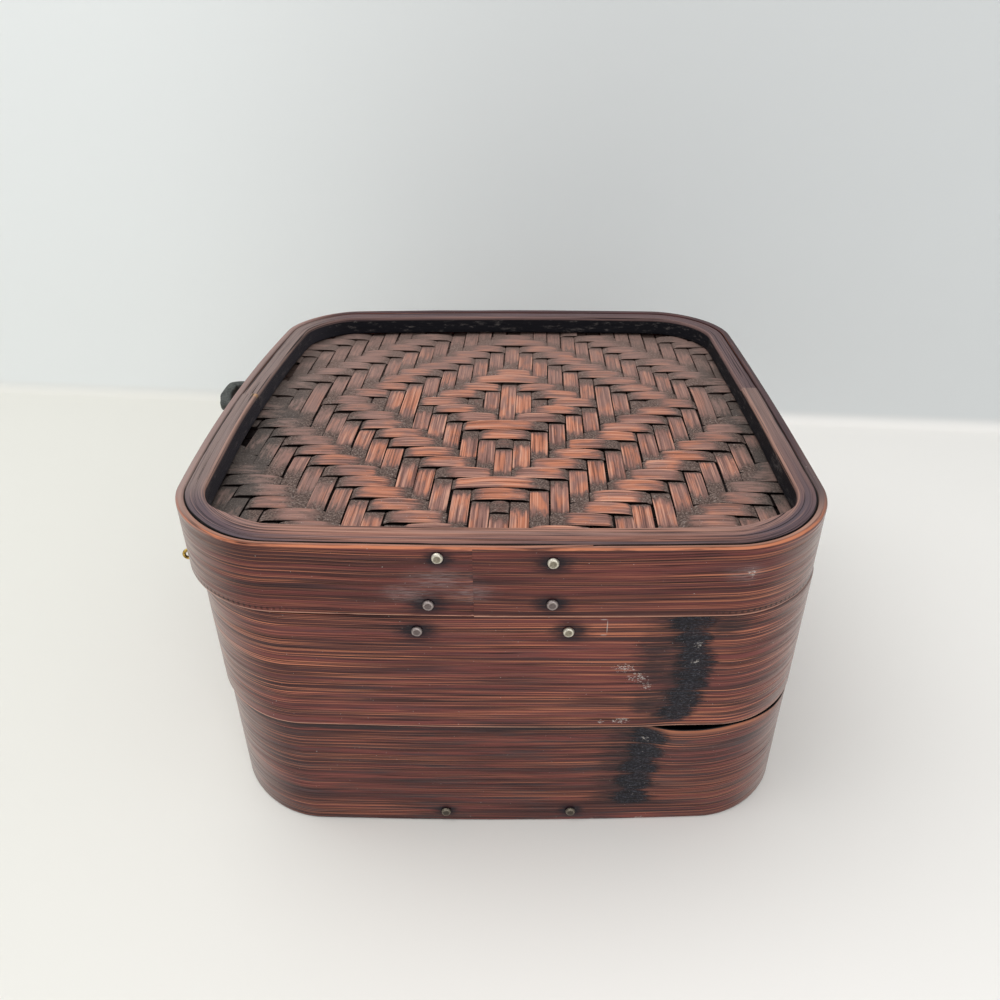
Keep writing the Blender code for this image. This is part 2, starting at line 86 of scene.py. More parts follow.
# %% [markdown]
# The outline of the bands
# All bands and hoops follow one rounded square whose sides bow outwards, the left one most. It is walked
# anticlockwise from the front's middle. A table of points along the straight sides and the corner arcs is
# enough, because a look-up between two close points gives any other. An array of distances can then be turned
# into places in one go, which keeps meshes with many points quick to make.

# %% Describe the outline
LID_WIDTH = 200.0 * MM
LID_DEPTH = 201.0 * MM
LID_OVERHANG = 1.5 * MM
RIGHT_BOW = 1.7 * MM
LEFT_BOW = 6.3 * MM
BACK_BOW = 3.6 * MM
FRONT_BOW = 2.9 * MM
BOW_POWER = 6
CORNER_RADII = (33.5 * MM, 31.0 * MM, 26.0 * MM, 32.0 * MM)
TABLE_STEPS = 80
BODY_PLACES = {
    "lower_tier": (7.450 * MM, 1.423 * MM, math.radians(1.1)),
    "upper_tier": (7.450 * MM, -0.267 * MM, math.radians(0.5)),
    "lid": (5.950 * MM, 0.225 * MM, 0.0),
}


class Outline:
    """The rounded square of one body: places on it, or this far inside it, by the distance walked."""

    def __init__(self, body, shrink):
        self.body = body
        self.half_x = LID_WIDTH / 2 - shrink
        self.half_y = LID_DEPTH / 2 - shrink
        rows = []
        walked = 0
        start = np.array((0, -self.half_y))
        sides = ((1, -1), (1, 1), (-1, 1), (-1, -1))
        shares = np.linspace(0, 1, TABLE_STEPS, endpoint=False)
        for turn, ((side_x, side_y), lid_radius) in enumerate(zip(sides, CORNER_RADII)):
            radius = lid_radius - shrink
            centre = np.array((side_x * (self.half_x - radius), side_y * (self.half_y - radius)))
            first = (turn - 1) * math.pi / 2
            normal = np.array((math.cos(first), math.sin(first)))
            end = centre + radius * normal
            length = np.linalg.norm(end - start)
            rows += [(walked + length * share, *(start + (end - start) * share), *normal) for share in shares]
            walked += length
            for share in shares:
                angle = first + share * math.pi / 2
                normal = np.array((math.cos(angle), math.sin(angle)))
                rows.append((walked + radius * math.pi / 2 * share, *(centre + radius * normal), *normal))
            walked += radius * math.pi / 2
            start = centre + radius * np.array((-math.sin(first), math.cos(first)))
        rows.append((walked, *start, 0, -1))
        rows.append((walked - start[0], 0, -self.half_y, 0, -1))
        self.table = np.array(rows).T
        self.length = rows[-1][0]

    def at(self, walk, inset):
        """Places (x, y) in the row frame for distances and insets, as arrays."""
        walk, inset = np.broadcast_arrays(np.asarray(walk, float), np.asarray(inset, float))
        found = [np.interp(walk % self.length, self.table[0], row) for row in self.table[1:]]
        x, y, normal_x, normal_y = found
        share_x = x / self.half_x
        share_y = y / self.half_y
        bow_x = np.where(share_x > 0, RIGHT_BOW, -LEFT_BOW) * share_x**BOW_POWER
        bow_y = np.where(share_y > 0, BACK_BOW, -FRONT_BOW) * share_y**BOW_POWER
        x = x - inset * normal_x + bow_x * (1 - np.minimum(1, share_y**2))
        y = y - inset * normal_y + bow_y * (1 - np.minimum(1, share_x**2))
        return self.to_row(x, y)

    def to_row(self, x, y):
        """From the body's own axes to the row frame."""
        middle_x, middle_y, turn = BODY_PLACES[self.body]
        row_x = middle_x + x * math.cos(turn) - y * math.sin(turn)
        row_y = middle_y + x * math.sin(turn) + y * math.cos(turn)
        return row_x, row_y

    def normal(self, walk):
        """The outward direction at one distance."""
        x, y = (np.interp(walk % self.length, self.table[0], row) for row in self.table[3:])
        turn = BODY_PLACES[self.body][2]
        return Vector((x, y, 0)).normalized().xyz @ Matrix.Rotation(-turn, 3, "Z")


OUTLINES = {
    "lower_tier": Outline("lower_tier", LID_OVERHANG),
    "upper_tier": Outline("upper_tier", LID_OVERHANG),
    "lid": Outline("lid", 0),
}
print("lid's outline is", round(OUTLINES["lid"].length / MM), "mm long")

# %% [markdown]
# Heights
# The heights come from the solids themselves, so a finer piece always ends where its solid ends.

# %% Read the heights from the frame
LOWER_BOTTOM, LOWER_TOP = (corner.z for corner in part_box("lower_band"))
UPPER_BOTTOM, UPPER_TOP = (corner.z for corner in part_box("upper_band"))
LID_BOTTOM, LID_TOP = (corner.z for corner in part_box("lid_band"))
PANEL_BOTTOM, PANEL_TOP = (corner.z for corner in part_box("lid_woven_panel"))
RIM_BOTTOM, RIM_TOP = (corner.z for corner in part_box("lid_rim_front"))
BACK_RIM_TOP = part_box("lid_rim_back")[1].z
print("heights in mm:", [round(z / MM, 1) for z in (LOWER_TOP, UPPER_BOTTOM, UPPER_TOP, LID_BOTTOM, LID_TOP)])

# %% [markdown]
# Random hills
# Old bent wood is never quite even. Noise for the shape of a mesh can come from a table of random numbers that
# is blended smoothly between its entries. A fixed seed gives the same hills each time.

# %% Make random hills
TABLE_ROWS = 97
TABLE_COLUMNS = 89


def hills(u, v, seed):
    """Smooth random hills between -1 and 1, about one for each unit of u and of v."""
    table = np.random.default_rng(seed).uniform(-1, 1, (TABLE_ROWS, TABLE_COLUMNS))
    u, v = np.broadcast_arrays(np.asarray(u, float), np.asarray(v, float))
    row = np.floor(u).astype(int)
    column = np.floor(v).astype(int)
    a = u - row
    b = v - column
    a = a * a * (3 - 2 * a)
    b = b * b * (3 - 2 * b)

    def entry(down, right):
        return table[(row + down) % TABLE_ROWS, (column + right) % TABLE_COLUMNS]

    near = entry(0, 0) * (1 - a) + entry(1, 0) * a
    far = entry(0, 1) * (1 - a) + entry(1, 1) * a
    return near * (1 - b) + far * b


def fade(value, low, high):
    """0 below low, 1 above high, and smooth between. Also works from high to low."""
    share = np.clip((np.asarray(value, float) - low) / (high - low), 0, 1)
    return share * share * (3 - 2 * share)


print("a few hills:", np.round(hills(np.arange(4) * 0.4, 0.5, 1), 2))

# %% [markdown]
# A mesh from rings
# A bent strip can be modelled as a cross-section that is carried along the outline. The points form a grid:
# one row for each cross-section, one column for each point round it. Each point also keeps its place on the
# strip (along, up and in), in an attribute named grain, so that a material can run along the bend.

# %% Turn rings of points into a piece
SMOOTH_ANGLE = math.radians(40)
BARE_DEPTH = 0.32 * MM


def ring_faces(rows, columns, first=0):
    """Faces between rings of points, with a cap on each end."""
    index = first + np.arange(rows * columns).reshape(rows, columns)
    following = np.roll(index, -1, axis=1)
    sides = np.stack((index[:-1], index[1:], following[1:], following[:-1]), -1).reshape(-1, 4).tolist()
    return sides + [index[0].tolist(), index[-1, ::-1].tolist()]


def piece(name, places, faces, attributes, finish):
    """A smooth mesh object with these places, faces and attributes."""
    mesh = bpy.data.meshes.new(name)
    mesh.from_pydata(np.asarray(places).reshape(-1, 3).tolist(), [], faces)
    for key, values in attributes.items():
        values = np.asarray(values, np.float32)
        kind, field, wide = ("FLOAT", "value", 1) if values.shape[-1] == 1 else ("FLOAT_VECTOR", "vector", 3)
        made = mesh.attributes.new(key, kind, "POINT")
        made.data.foreach_set(field, values.reshape(-1, wide).ravel())
    mesh.shade_smooth()
    mesh.set_sharp_from_angle(angle=SMOOTH_ANGLE)
    mesh.materials.append(finish)
    obj = bpy.data.objects.new(name, mesh)
    bpy.context.scene.collection.objects.link(obj)
    return obj


def finish_piece(obj, body, slot, *nodes):
    """The piece rides on a body and stands for these solids. slot is not used."""
    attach(obj, body)
    if nodes:
        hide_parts(*nodes)
    print(obj.name, "on", body, "for", nodes)


def carried(name, outline, walks, insets, heights, finish, raised=0.0, bare=None, lean=0.0):
    """A strip along the outline. Insets and heights have a row for each walk.

    raised is how far it is bent up, and lean how far out. bare is a second finish, for all faces but the outer one.
    """
    x, y = outline.at(walks[:, None], insets - lean)
    places = np.stack((x, y, heights), -1)
    along = np.broadcast_to(walks[:, None], insets.shape)
    grain = np.stack((along, heights - raised, insets), -1)
    front = fade(-y, 0.66 * outline.half_y, 0.98 * outline.half_y)[..., None]
    left = fade(-x, 0.7 * outline.half_x, 0.98 * outline.half_x)[..., None]
    attributes = {"grain": grain, "front": front, "left": left}
    obj = piece(name, places, ring_faces(*insets.shape), attributes, finish)
    if bare:
        depth = insets - insets.min(axis=1, keepdims=True)
        depth = depth + np.roll(depth, -1, axis=1)
        inner = (depth[:-1] + depth[1:]) / 4 > BARE_DEPTH
        obj.data.materials.append(bare)
        obj.data.polygons.foreach_set("material_index", [*inner.ravel().astype(int).tolist(), 1, 1])
    return obj


# %% [markdown]
# The cross-section of a strip
# Split bamboo has a rectangular section with soft edges. The section's points go up the outer face, over the
# top, down the inner face and back under. The outer face gets many rows, because it shows grooves and dents.

# %% Describe the cross-section
ARC_SHARES = (0.0, 0.34, 0.67)


def section(outer, inner, bottom, top, rounding, rows, back_rows=5, across=3):
    """Insets and heights round a rectangle with round edges. The first four may be arrays."""
    outer, inner, bottom, top = np.broadcast_arrays(*(np.atleast_1d(value).astype(float) for value in
                                                      (outer, inner, bottom, top)))
    radius = np.minimum(rounding, 0.45 * (inner - outer))
    columns = []
    for share in np.linspace(0, 1, rows, endpoint=False):
        columns.append((outer, bottom + radius + (top - bottom - 2 * radius) * share))
    for share in ARC_SHARES:
        angle = share * math.pi / 2
        columns.append((outer + radius * (1 - math.cos(angle)), top - radius * (1 - math.sin(angle))))
    for share in np.linspace(0, 1, across, endpoint=False):
        columns.append((outer + radius + (inner - outer - 2 * radius) * share, top))
    for share in ARC_SHARES:
        angle = share * math.pi / 2
        columns.append((inner - radius * (1 - math.sin(angle)), top - radius * (1 - math.cos(angle))))
    for share in np.linspace(1, 0, back_rows, endpoint=False):
        columns.append((inner, bottom + radius + (top - bottom - 2 * radius) * share))
    for share in ARC_SHARES:
        angle = share * math.pi / 2
        columns.append((inner - radius * (1 - math.cos(angle)), bottom + radius * (1 - math.sin(angle))))
    for share in np.linspace(1, 0, across, endpoint=False):
        columns.append((outer + radius + (inner - outer - 2 * radius) * share, bottom))
    for share in ARC_SHARES:
        angle = share * math.pi / 2
        columns.append((outer + radius * (1 - math.sin(angle)), bottom + radius * (1 - math.cos(angle))))
    insets = np.stack([np.broadcast_to(column[0], outer.shape) for column in columns], -1)
    heights = np.stack([np.broadcast_to(column[1], outer.shape) for column in columns], -1)
    return insets, heights


print("points round a section:", section(0, 1, 0, 4, 0.1, 10)[0].shape[1])

# %% [markdown]
# Materials
# A material here is a small network of nodes. The short helper below adds a node, joins it up and hands back
# its output, so that a network reads like a sum. All noise is laid out in millimetres on the strip, far longer
# along the strip than across it, which gives the streaks of split bamboo.

# %% Write a helper for materials


def paint(code):
    """A colour as it is seen on screen, such as 7a4238, as linear red, green, blue and alpha."""
    parts = [int(code[start:start + 2], 16) / 255 for start in (0, 2, 4)]
    linear = [part / 12.92 if part <= 0.04045 else ((part + 0.055) / 1.055) ** 2.4 for part in parts]
    return (*linear, 1)


class Finish:
    """A material in the making. Each call adds a node and gives its output."""

    def __init__(self, name, roughness=0.5, metallic=0.0):
        self.material = bpy.data.materials.new(name)
        self.material.use_nodes = True
        self.tree = self.material.node_tree
        self.shader = self.tree.nodes["Principled BSDF"]
        self.shader.inputs["Roughness"].default_value = roughness
        self.shader.inputs["Metallic"].default_value = metallic

    def add(self, kind, inputs=(), output=0, **settings):
        node = self.tree.nodes.new("ShaderNode" + kind)
        for key, value in settings.items():
            setattr(node, key, value)
        for key, value in dict(inputs).items():
            self.feed(node.inputs[key], value)
        return node.outputs[output]

    def feed(self, socket, value):
        if isinstance(value, bpy.types.NodeSocket):
            self.tree.links.new(value, socket)
        else:
            socket.default_value = value

    def set(self, name, value):
        self.feed(self.shader.inputs[name], value)

    def grain(self):
        """The place on the strip in millimetres: along, up and in."""
        place = self.add("Attribute", output="Vector", attribute_name="grain")
        return self.add("VectorMath", {0: place, "Scale": 1 / MM}, operation="SCALE")

    def parts(self, vector):
        node = self.tree.nodes.new("ShaderNodeSeparateXYZ")
        self.feed(node.inputs[0], vector)
        return node.outputs

    def join(self, x, y, z):
        return self.add("CombineXYZ", {0: x, 1: y, 2: z})

    def math(self, operation, *values, clamp=False):
        return self.add("Math", enumerate(values), operation=operation, use_clamp=clamp)

    def noise(self, place, along, up, depth, detail=3.0, roughness=0.55, seed=0.0):
        """Noise whose grains have this size in millimetres."""
        scaled = self.add("VectorMath", {0: place, 1: (1 / along, 1 / up, 1 / depth)}, operation="MULTIPLY")
        settings = {"Vector": scaled, "W": seed, "Scale": 1.0, "Detail": detail, "Roughness": roughness}
        return self.add("TexNoise", settings, noise_dimensions="4D")

    def step(self, value, low, high):
        """A smooth step from 0 at low to 1 at high."""
        settings = {"Value": value, "From Min": low, "From Max": high}
        return self.add("MapRange", settings, interpolation_type="SMOOTHSTEP")

    def blend(self, share, first, second):
        return self.add("Mix", {0: share, 6: first, 7: second}, output=2, data_type="RGBA")

    def spot(self, place, walk, height, wide, high, core=0.35):
        """1 in the middle of an ellipse on the wall, 0 outside it."""
        away = self.add("VectorMath", {0: place, 1: (walk, height, 0)}, operation="SUBTRACT")
        scaled = self.add("VectorMath", {0: away, 1: (1 / wide, 1 / high, 0)}, operation="MULTIPLY")
        distance = self.add("VectorMath", {0: scaled}, output="Value", operation="LENGTH")
        return self.step(distance, 1.0, core)

    def most(self, values):
        found = values[0]
        for value in values[1:]:
            found = self.math("MAXIMUM", found, value)
        return found

    def bump(self, height, distance, strength=1.0):
        settings = {"Height": height, "Distance": distance, "Strength": strength}
        self.feed(self.shader.inputs["Normal"], self.add("Bump", settings))


# %% [markdown]
# Stained split bamboo
# The bands are split bamboo, stained dark red-brown. The stain sits unevenly in the long fibres: thin orange
# lines where it has worn off, near-black lines where it has gathered, and grey smudges of age over both.
# Round the tacks the stain has turned blue-black, and where the cane had a node the fibres break up into a
# rough dark scar. Each of these is one layer, mixed over the layer before it. The old lacquer hardly shines
# seen straight on, and catches a pale sheen at a low angle: a coat with a low index gives both.
# Some layers are painted light and shade: a pale sheen near the front corners and along the left side's top, a dark
# brown strip of stain and shade along the lower band's top, shade on the undersides, on the top faces where the tiers
# meet and in the gap between them, and pale glints in the scars.

# %% Mix the bands' finish
WOOD_RED = paint("703c38")
WOOD_BROWN = paint("4c2d2b")
WOOD_ORANGE = paint("bd7658")
WOOD_DARK = paint("1b0d0d")
WOOD_SMUDGE = paint("443537")
STAIN_BLACK = paint("14161e")
STAIN_AND_SHADE_BROWN = paint("2f2628")
SCAR_GREY = paint("575963")
EDGE_ORANGE = paint("c27a5a")
EDGE_PALE = paint("c9947c")
HAZE_GREY = paint("93817f")
PALE_CHIP_AND_GLINT = paint("cfc6be")
CORNER_SHEEN_PALE = paint("9d8a82")
SIDE_HIGHLIGHT_PALE = paint("9c8680")
SIDE_DARK = paint("54484a")
GAP_BLACK = paint("030304")
GAP_START = 41.0
GAP_END = 125.0


def bamboo_fibres(made, grain, seed, smudge_share, bright_share):
    """The streaked colour of split bamboo, and a height for its bump."""
    along, up, depth = made.parts(grain)
    sway = made.noise(grain, 80, 50, 30, 1, 0.5, seed + 1)
    place = made.join(along, made.math("MULTIPLY_ADD", sway, 2.4, up), depth)
    broad = made.step(made.noise(place, 90, 2.3, 3, 2, 0.5, seed + 2), 0.42, 0.6)
    colour = made.blend(broad, WOOD_BROWN, WOOD_RED)
    smudge = made.step(made.noise(place, 26, 2.1, 3, 3, 0.6, seed + 6), 0.46, 0.64)
    colour = made.blend(made.math("MULTIPLY", smudge, smudge_share), colour, WOOD_SMUDGE)
    bright_lines = made.noise(place, 120, 0.31, 1.5, 1, 0.45, seed + 4)
    patch = made.math("MULTIPLY_ADD", made.step(made.noise(place, 60, 4.5, 4, 2, 0.5, seed + 5), 0.36, 0.6), 0.8, 0.2)
    bright = made.math("MULTIPLY", made.step(bright_lines, 0.53, 0.64), made.math("MULTIPLY", patch, bright_share))
    colour = made.blend(bright, colour, WOOD_ORANGE)
    dark_lines = made.noise(place, 38, 0.34, 1.5, 2, 0.5, seed + 3)
    colour = made.blend(made.math("MULTIPLY", made.step(dark_lines, 0.45, 0.36), 0.8), colour, WOOD_DARK)
    fine = made.noise(place, 30, 0.15, 0.5, 2, 0.6, seed + 7)
    shade = made.math("MULTIPLY_ADD", fine, 1.6, 0.2)
    colour = made.add("VectorMath", {0: colour, "Scale": shade}, operation="SCALE")
    height = made.math("ADD", made.math("MULTIPLY", bright_lines, 0.7), made.math("MULTIPLY", fine, 0.5))
    return colour, made.math("SUBTRACT", height, made.math("MULTIPLY", made.step(dark_lines, 0.42, 0.33), 0.3))


def band_finish(name, seed, halos, scars, shadows, hazes, chips, top, bottom, shares, coat=0.85):
    """A band's finish. Marks are (walk, height, half width, half height) in millimetres.

    shares says how strong each of these is: light, bright, smudge, top_wear, low_line, top_stain_and_shade, top_shade_and_dirt, gap,
    crimp.
    """
    made = Finish(name)
    made.shader.inputs["Specular IOR Level"].default_value = 0.03
    made.shader.inputs["Coat Weight"].default_value = coat
    made.shader.inputs["Coat IOR"].default_value = 1.25
    made.shader.inputs["Coat Roughness"].default_value = 0.25
    grain = made.grain()
    along, up, depth = made.parts(grain)
    colour, height = bamboo_fibres(made, grain, seed, shares["smudge"], shares["bright"])
    colour = made.add("VectorMath", {0: colour, "Scale": shares["light"]}, operation="SCALE")
    worn = made.noise(grain, 16, 1.0, 1.2, 3, 0.65, seed + 8)
    front = made.add("Attribute", output="Fac", attribute_name="front")
    half = OUTLINES["lid" if top > UPPER_TOP / MM else "upper_tier"].length / MM / 2
    walk = made.math("WRAP", along, half, -half)
    corner = made.spot(made.join(walk, 0, 0), 92.0, 0, 50, 50, core=0.5)

    # Painted sheen: pale grey streaks near the front corners stand in for the sheen the bands catch at a low angle.
    sheen_streaks = made.math("MULTIPLY", made.step(made.noise(grain, 40, 1.4, 1, 3, 0.6, seed + 18), 0.3, 0.6), 0.7)
    colour = made.blend(made.math("MULTIPLY", front_corners(made, walk, 114, 40), sheen_streaks), colour, CORNER_SHEEN_PALE)
    left = made.add("Attribute", output="Fac", attribute_name="left")
    # Painted sheen: the top of the band on the left side is painted paler, as where it catches the light.
    lit_left_top = made.math("MULTIPLY", made.step(up, top - 1.4, top - 0.5), made.math("SUBTRACT", 1.0, front))
    colour = made.blend(made.math("MULTIPLY", made.math("MULTIPLY", lit_left_top, left), 0.8), colour, SIDE_HIGHLIGHT_PALE)
    elsewhere = made.math("SUBTRACT", made.math("SUBTRACT", 1.0, front, clamp=True), left, clamp=True)
    side_top = made.math("MULTIPLY", made.math("MULTIPLY", elsewhere, made.step(up, top - 0.8, top - 0.4)), 0.8)
    colour = made.blend(made.math("MULTIPLY", side_top, made.step(depth, 0.15, 0.5)), colour, SIDE_DARK)
    # Stain and painted shade: a dark brown strip along the top of the lower band, under the upper band's edge.
    stain_and_shade = made.math("MULTIPLY", made.step(up, top - 2.9, top - 2.2), made.step(worn, 0.7, 0.5))
    stain_and_shade = made.math("MULTIPLY", stain_and_shade, made.math("MULTIPLY_ADD", corner, -0.85, 1.0))
    opened = made.math("MULTIPLY", made.step(walk, GAP_START, GAP_START + 8), made.step(walk, GAP_END, GAP_END - 20))
    stain_and_shade = made.math("MULTIPLY", stain_and_shade, made.math("MULTIPLY_ADD", opened, -0.9, 1.0))
    colour = made.blend(made.math("MULTIPLY", stain_and_shade, shares["top_stain_and_shade"]), colour, STAIN_AND_SHADE_BROWN)
    on_edge = made.math("MULTIPLY", made.step(up, top - 0.8, top - 0.4), front)
    pale_top = made.math("MULTIPLY", made.step(depth, 1.1, 1.6), made.math("MULTIPLY_ADD", worn, 0.6, 0.2))
    colour = made.blend(made.math("MULTIPLY", on_edge, pale_top), colour, EDGE_PALE)
    top_edge = made.math("MULTIPLY", made.step(depth, 0.05, 0.3), made.step(depth, 1.5, 0.8))
    top_edge = made.math("MULTIPLY", made.math("MULTIPLY", top_edge, made.step(worn, 0.3, 0.56)), on_edge)
    colour = made.blend(made.math("MULTIPLY", top_edge, shares["top_wear"]), colour, EDGE_ORANGE)
    rubbed = made.math("MULTIPLY", made.step(up, top - 3.4, top - 1.0), made.math("MULTIPLY_ADD", worn, 1.1, 0.05))
    rubbed = made.math("MULTIPLY", made.math("MULTIPLY", rubbed, opened), made.step(walk, 100, 70))
    colour = made.blend(made.math("MULTIPLY", rubbed, shares["gap"]), colour, EDGE_ORANGE)
    low_line = made.math("MULTIPLY", made.step(up, bottom + 0.95, bottom + 0.75), made.step(worn, 0.3, 0.5))
    colour = made.blend(made.math("MULTIPLY", low_line, shares["low_line"]), colour, EDGE_PALE)
    # Painted shade: the downward-facing lower edge of the band is painted dark.
    shaded_underside = made.step(up, bottom + 0.42, bottom + 0.3)
    colour = made.blend(made.math("MULTIPLY", shaded_underside, 0.9), colour, WOOD_DARK)
    # Painted shade, with some dirt: the band's top face, where the tiers meet, is painted dark.
    shaded_top_face = made.math("MULTIPLY", made.step(depth, 0.45, 0.8), made.step(up, top - 0.8, top - 0.45))
    colour = made.blend(made.math("MULTIPLY", shaded_top_face, shares["top_shade_and_dirt"]), colour, WOOD_DARK)
    # Painted shade: where the upper band's edge curls up, the lower band's top face seen in the gap is painted black.
    reach = made.math("MULTIPLY_ADD", opened, -0.16, 0.3)
    gap = made.math("MULTIPLY", made.step(made.math("SUBTRACT", depth, reach), -0.06, 0.08), made.step(up, top - 0.7, top - 0.4))
    colour = made.blend(made.math("MULTIPLY", gap, shares["gap"]), colour, GAP_BLACK)

    if scars:
        ragged = made.noise(grain, 7, 0.5, 1, 3, 0.7, seed + 9)
        soft = made.noise(grain, 9, 5, 1, 2, 0.5, seed + 16)
        sideways = made.math("ADD", made.math("MULTIPLY", ragged, 16.0), made.math("MULTIPLY", soft, 8.0))
        shifted = made.join(made.math("ADD", sideways, made.math("SUBTRACT", along, 12.0)), up, depth)
        wide = [(place - 4.0, level, across * 1.9, high * 1.2) for place, level, across, high in scars] + shadows
        around_scar = made.most([made.spot(shifted, *mark, core=0.2) for mark in wide])
        cracks = made.step(made.noise(grain, 8, 0.4, 1, 2, 0.6, seed + 11), 0.54, 0.6)
        faded = made.math("MULTIPLY", around_scar, made.math("MULTIPLY_ADD", cracks, 0.2, 0.72))
        colour = made.blend(faded, colour, STAIN_AND_SHADE_BROWN)
        scar = made.most([made.spot(shifted, *mark, core=0.6) for mark in scars])
        crumbs = made.noise(grain, 1.0, 0.5, 0.8, 4, 0.8, seed + 12)
        pits = made.noise(grain, 3.5, 0.7, 0.8, 3, 0.7, seed + 19)
        inside = made.blend(made.step(crumbs, 0.46, 0.74), STAIN_BLACK, SCAR_GREY)
        inside = made.blend(made.step(pits, 0.44, 0.36), inside, GAP_BLACK)
        colour = made.blend(made.math("MULTIPLY", scar, 0.92), colour, inside)
        # Painted highlight: pale glints in the scars stand in for light catching the broken fibres.
        glint = made.math("MULTIPLY", made.step(made.noise(grain, 0.5, 0.4, 0.5, 2, 0.6, seed + 17), 0.7, 0.76), scar)
        colour = made.blend(glint, colour, PALE_CHIP_AND_GLINT)
        height = made.math("ADD", height, made.math("MULTIPLY", crumbs, made.math("MULTIPLY", scar, 3.0)))
        height = made.math("SUBTRACT", height, made.math("MULTIPLY", made.math("MULTIPLY", around_scar, cracks), 0.9))
    if halos:
        soft = made.noise(grain, 4.5, 1.2, 1, 3, 0.6, seed + 13)
        nudged = made.join(made.math("MULTIPLY_ADD", soft, 8.0, made.math("SUBTRACT", along, 4.0)), up, depth)
        halo = made.most([made.spot(nudged, *mark, core=0.22) for mark in halos])
        colour = made.blend(made.math("MULTIPLY", halo, 0.9), colour, STAIN_BLACK)
    if hazes:
        haze = made.most([made.spot(grain, *mark, core=0.0) for mark in hazes])
        mottle = made.step(made.noise(grain, 5, 0.4, 1, 4, 0.75, seed + 10), 0.34, 0.68)
        colour = made.blend(made.math("MULTIPLY", haze, made.math("MULTIPLY", mottle, 0.62)), colour, HAZE_GREY)
    if chips:
        chip = made.most([made.spot(grain, *mark, core=0.1) for mark in chips])
        flecks = made.noise(grain, 1.1, 0.7, 1, 4, 0.8, seed + 14)
        chip = made.step(made.math("ADD", made.math("MULTIPLY", chip, 0.24), flecks), 0.73, 0.83)
        colour = made.blend(made.math("MULTIPLY", chip, 0.7), colour, PALE_CHIP_AND_GLINT)
    specks = made.step(made.noise(grain, 0.55, 0.5, 0.5, 1, 0.5, seed + 15), 0.76, 0.79)
    colour = made.blend(made.math("MULTIPLY", specks, 0.7), colour, PALE_CHIP_AND_GLINT)
    if name.startswith("upper"):
        scratch = made.most([made.spot(grain, *mark, core=0.4) for mark in SCRATCHES])
        colour = made.blend(made.math("MULTIPLY", scratch, 0.5), colour, PALE_CHIP_AND_GLINT)
    if shares["crimp"]:
        beat = made.math("SINE", made.math("MULTIPLY", along, 3.3))
        row = made.math("MULTIPLY", made.step(up, bottom + 2.5, bottom + 2.0), made.step(up, bottom + 1.1, bottom + 1.4))
        row = made.math("MULTIPLY", row, front_corners(made, walk, 90, 38))
        dents = made.math("MULTIPLY", made.step(beat, 0.1, 0.8), row)
        colour = made.blend(made.math("MULTIPLY", dents, 0.6), colour, WOOD_DARK)
        height = made.math("SUBTRACT", height, made.math("MULTIPLY", dents, 1.2))
    made.set("Base Color", colour)
    made.set("Roughness", made.math("MULTIPLY_ADD", worn, 0.35, 0.3))
    made.bump(height, 0.2 * MM)
    return made.material


def front_corners(made, walk, middle, wide):
    """1 near this distance from the front's middle on both sides, where the strip is bent."""
    place = made.join(walk, 0, 0)
    left = made.spot(place, -middle, 0, wide, wide, core=0.35)
    right = made.spot(place, middle, 0, wide, wide, core=0.35)
    return made.math("MAXIMUM", left, right)


# %% [markdown]
# The three bent bands
# Each band is one thin strip, bent round and lapped over its own end. The end is pared thin, so the lap hardly
# shows: only the outer layer's thin end makes a faint upright line. The strip is carried along the outline for
# a full turn and a lap more. Shallow grooves, an uneven edge and the swollen node scars are pushed into the
# outer face as real shape, and the finest fibres are left to the material.

# %% Bend the bands
BAND_WALL = 2.6 * MM
EDGE_ROUND = 0.7 * MM
LAP_LENGTH = 34.0 * MM
LAP_FEATHER = 0.12 * MM
LAP_GAP = 0.03 * MM
SLIP_IN = 1.6 * MM
LID_LAP_MIDDLE = 9.1 * MM
EDGE_WARP = 0.5 * MM
EDGE_DIP = 2.1 * MM
TOP_LEAN = 1.5 * MM
LEAN_DEPTH = 20.0 * MM
STATION = 1.3 * MM
ROW_STEP = 0.62 * MM
GROOVE = 0.07 * MM
CHORD_CLEARANCE = 0.06 * MM
EDGE_WAVE = 0.14 * MM


def lap_walks(outline, middle):
    """Distances along a lapped strip, closer together at its thin ends."""
    first = middle - LAP_LENGTH / 2
    last = middle + LAP_LENGTH / 2 + outline.length
    count = int((last - first) / STATION)
    walks = np.linspace(first, last, count)
    ends = np.array((0.1, 0.3, 0.6)) * MM
    seam = middle - LAP_LENGTH / 2 + outline.length
    dense = seam + np.arange(-2.4, 0.61, 0.3) * MM
    return np.unique(np.concatenate((walks, first + ends, last - ends, dense)))


def lap_insets(outline, middle, walks):
    """The outer and inner face of the strip: whole all round, pared where the two ends lie together."""
    first = middle - LAP_LENGTH / 2
    last = middle + LAP_LENGTH / 2
    share = np.clip((walks - first) / LAP_LENGTH, 0, 1)
    inner = LAP_FEATHER + (BAND_WALL - 2 * LAP_FEATHER - LAP_GAP) * share
    inner = np.where(walks > last, BAND_WALL, inner)
    turned = walks - outline.length
    share = np.clip((turned - first) / LAP_LENGTH, 0, 1)
    slid = fade(turned, first - SLIP_IN, first) * (LAP_FEATHER + LAP_GAP)
    outer = slid + (BAND_WALL - 2 * LAP_FEATHER - LAP_GAP) * share
    return outer, inner


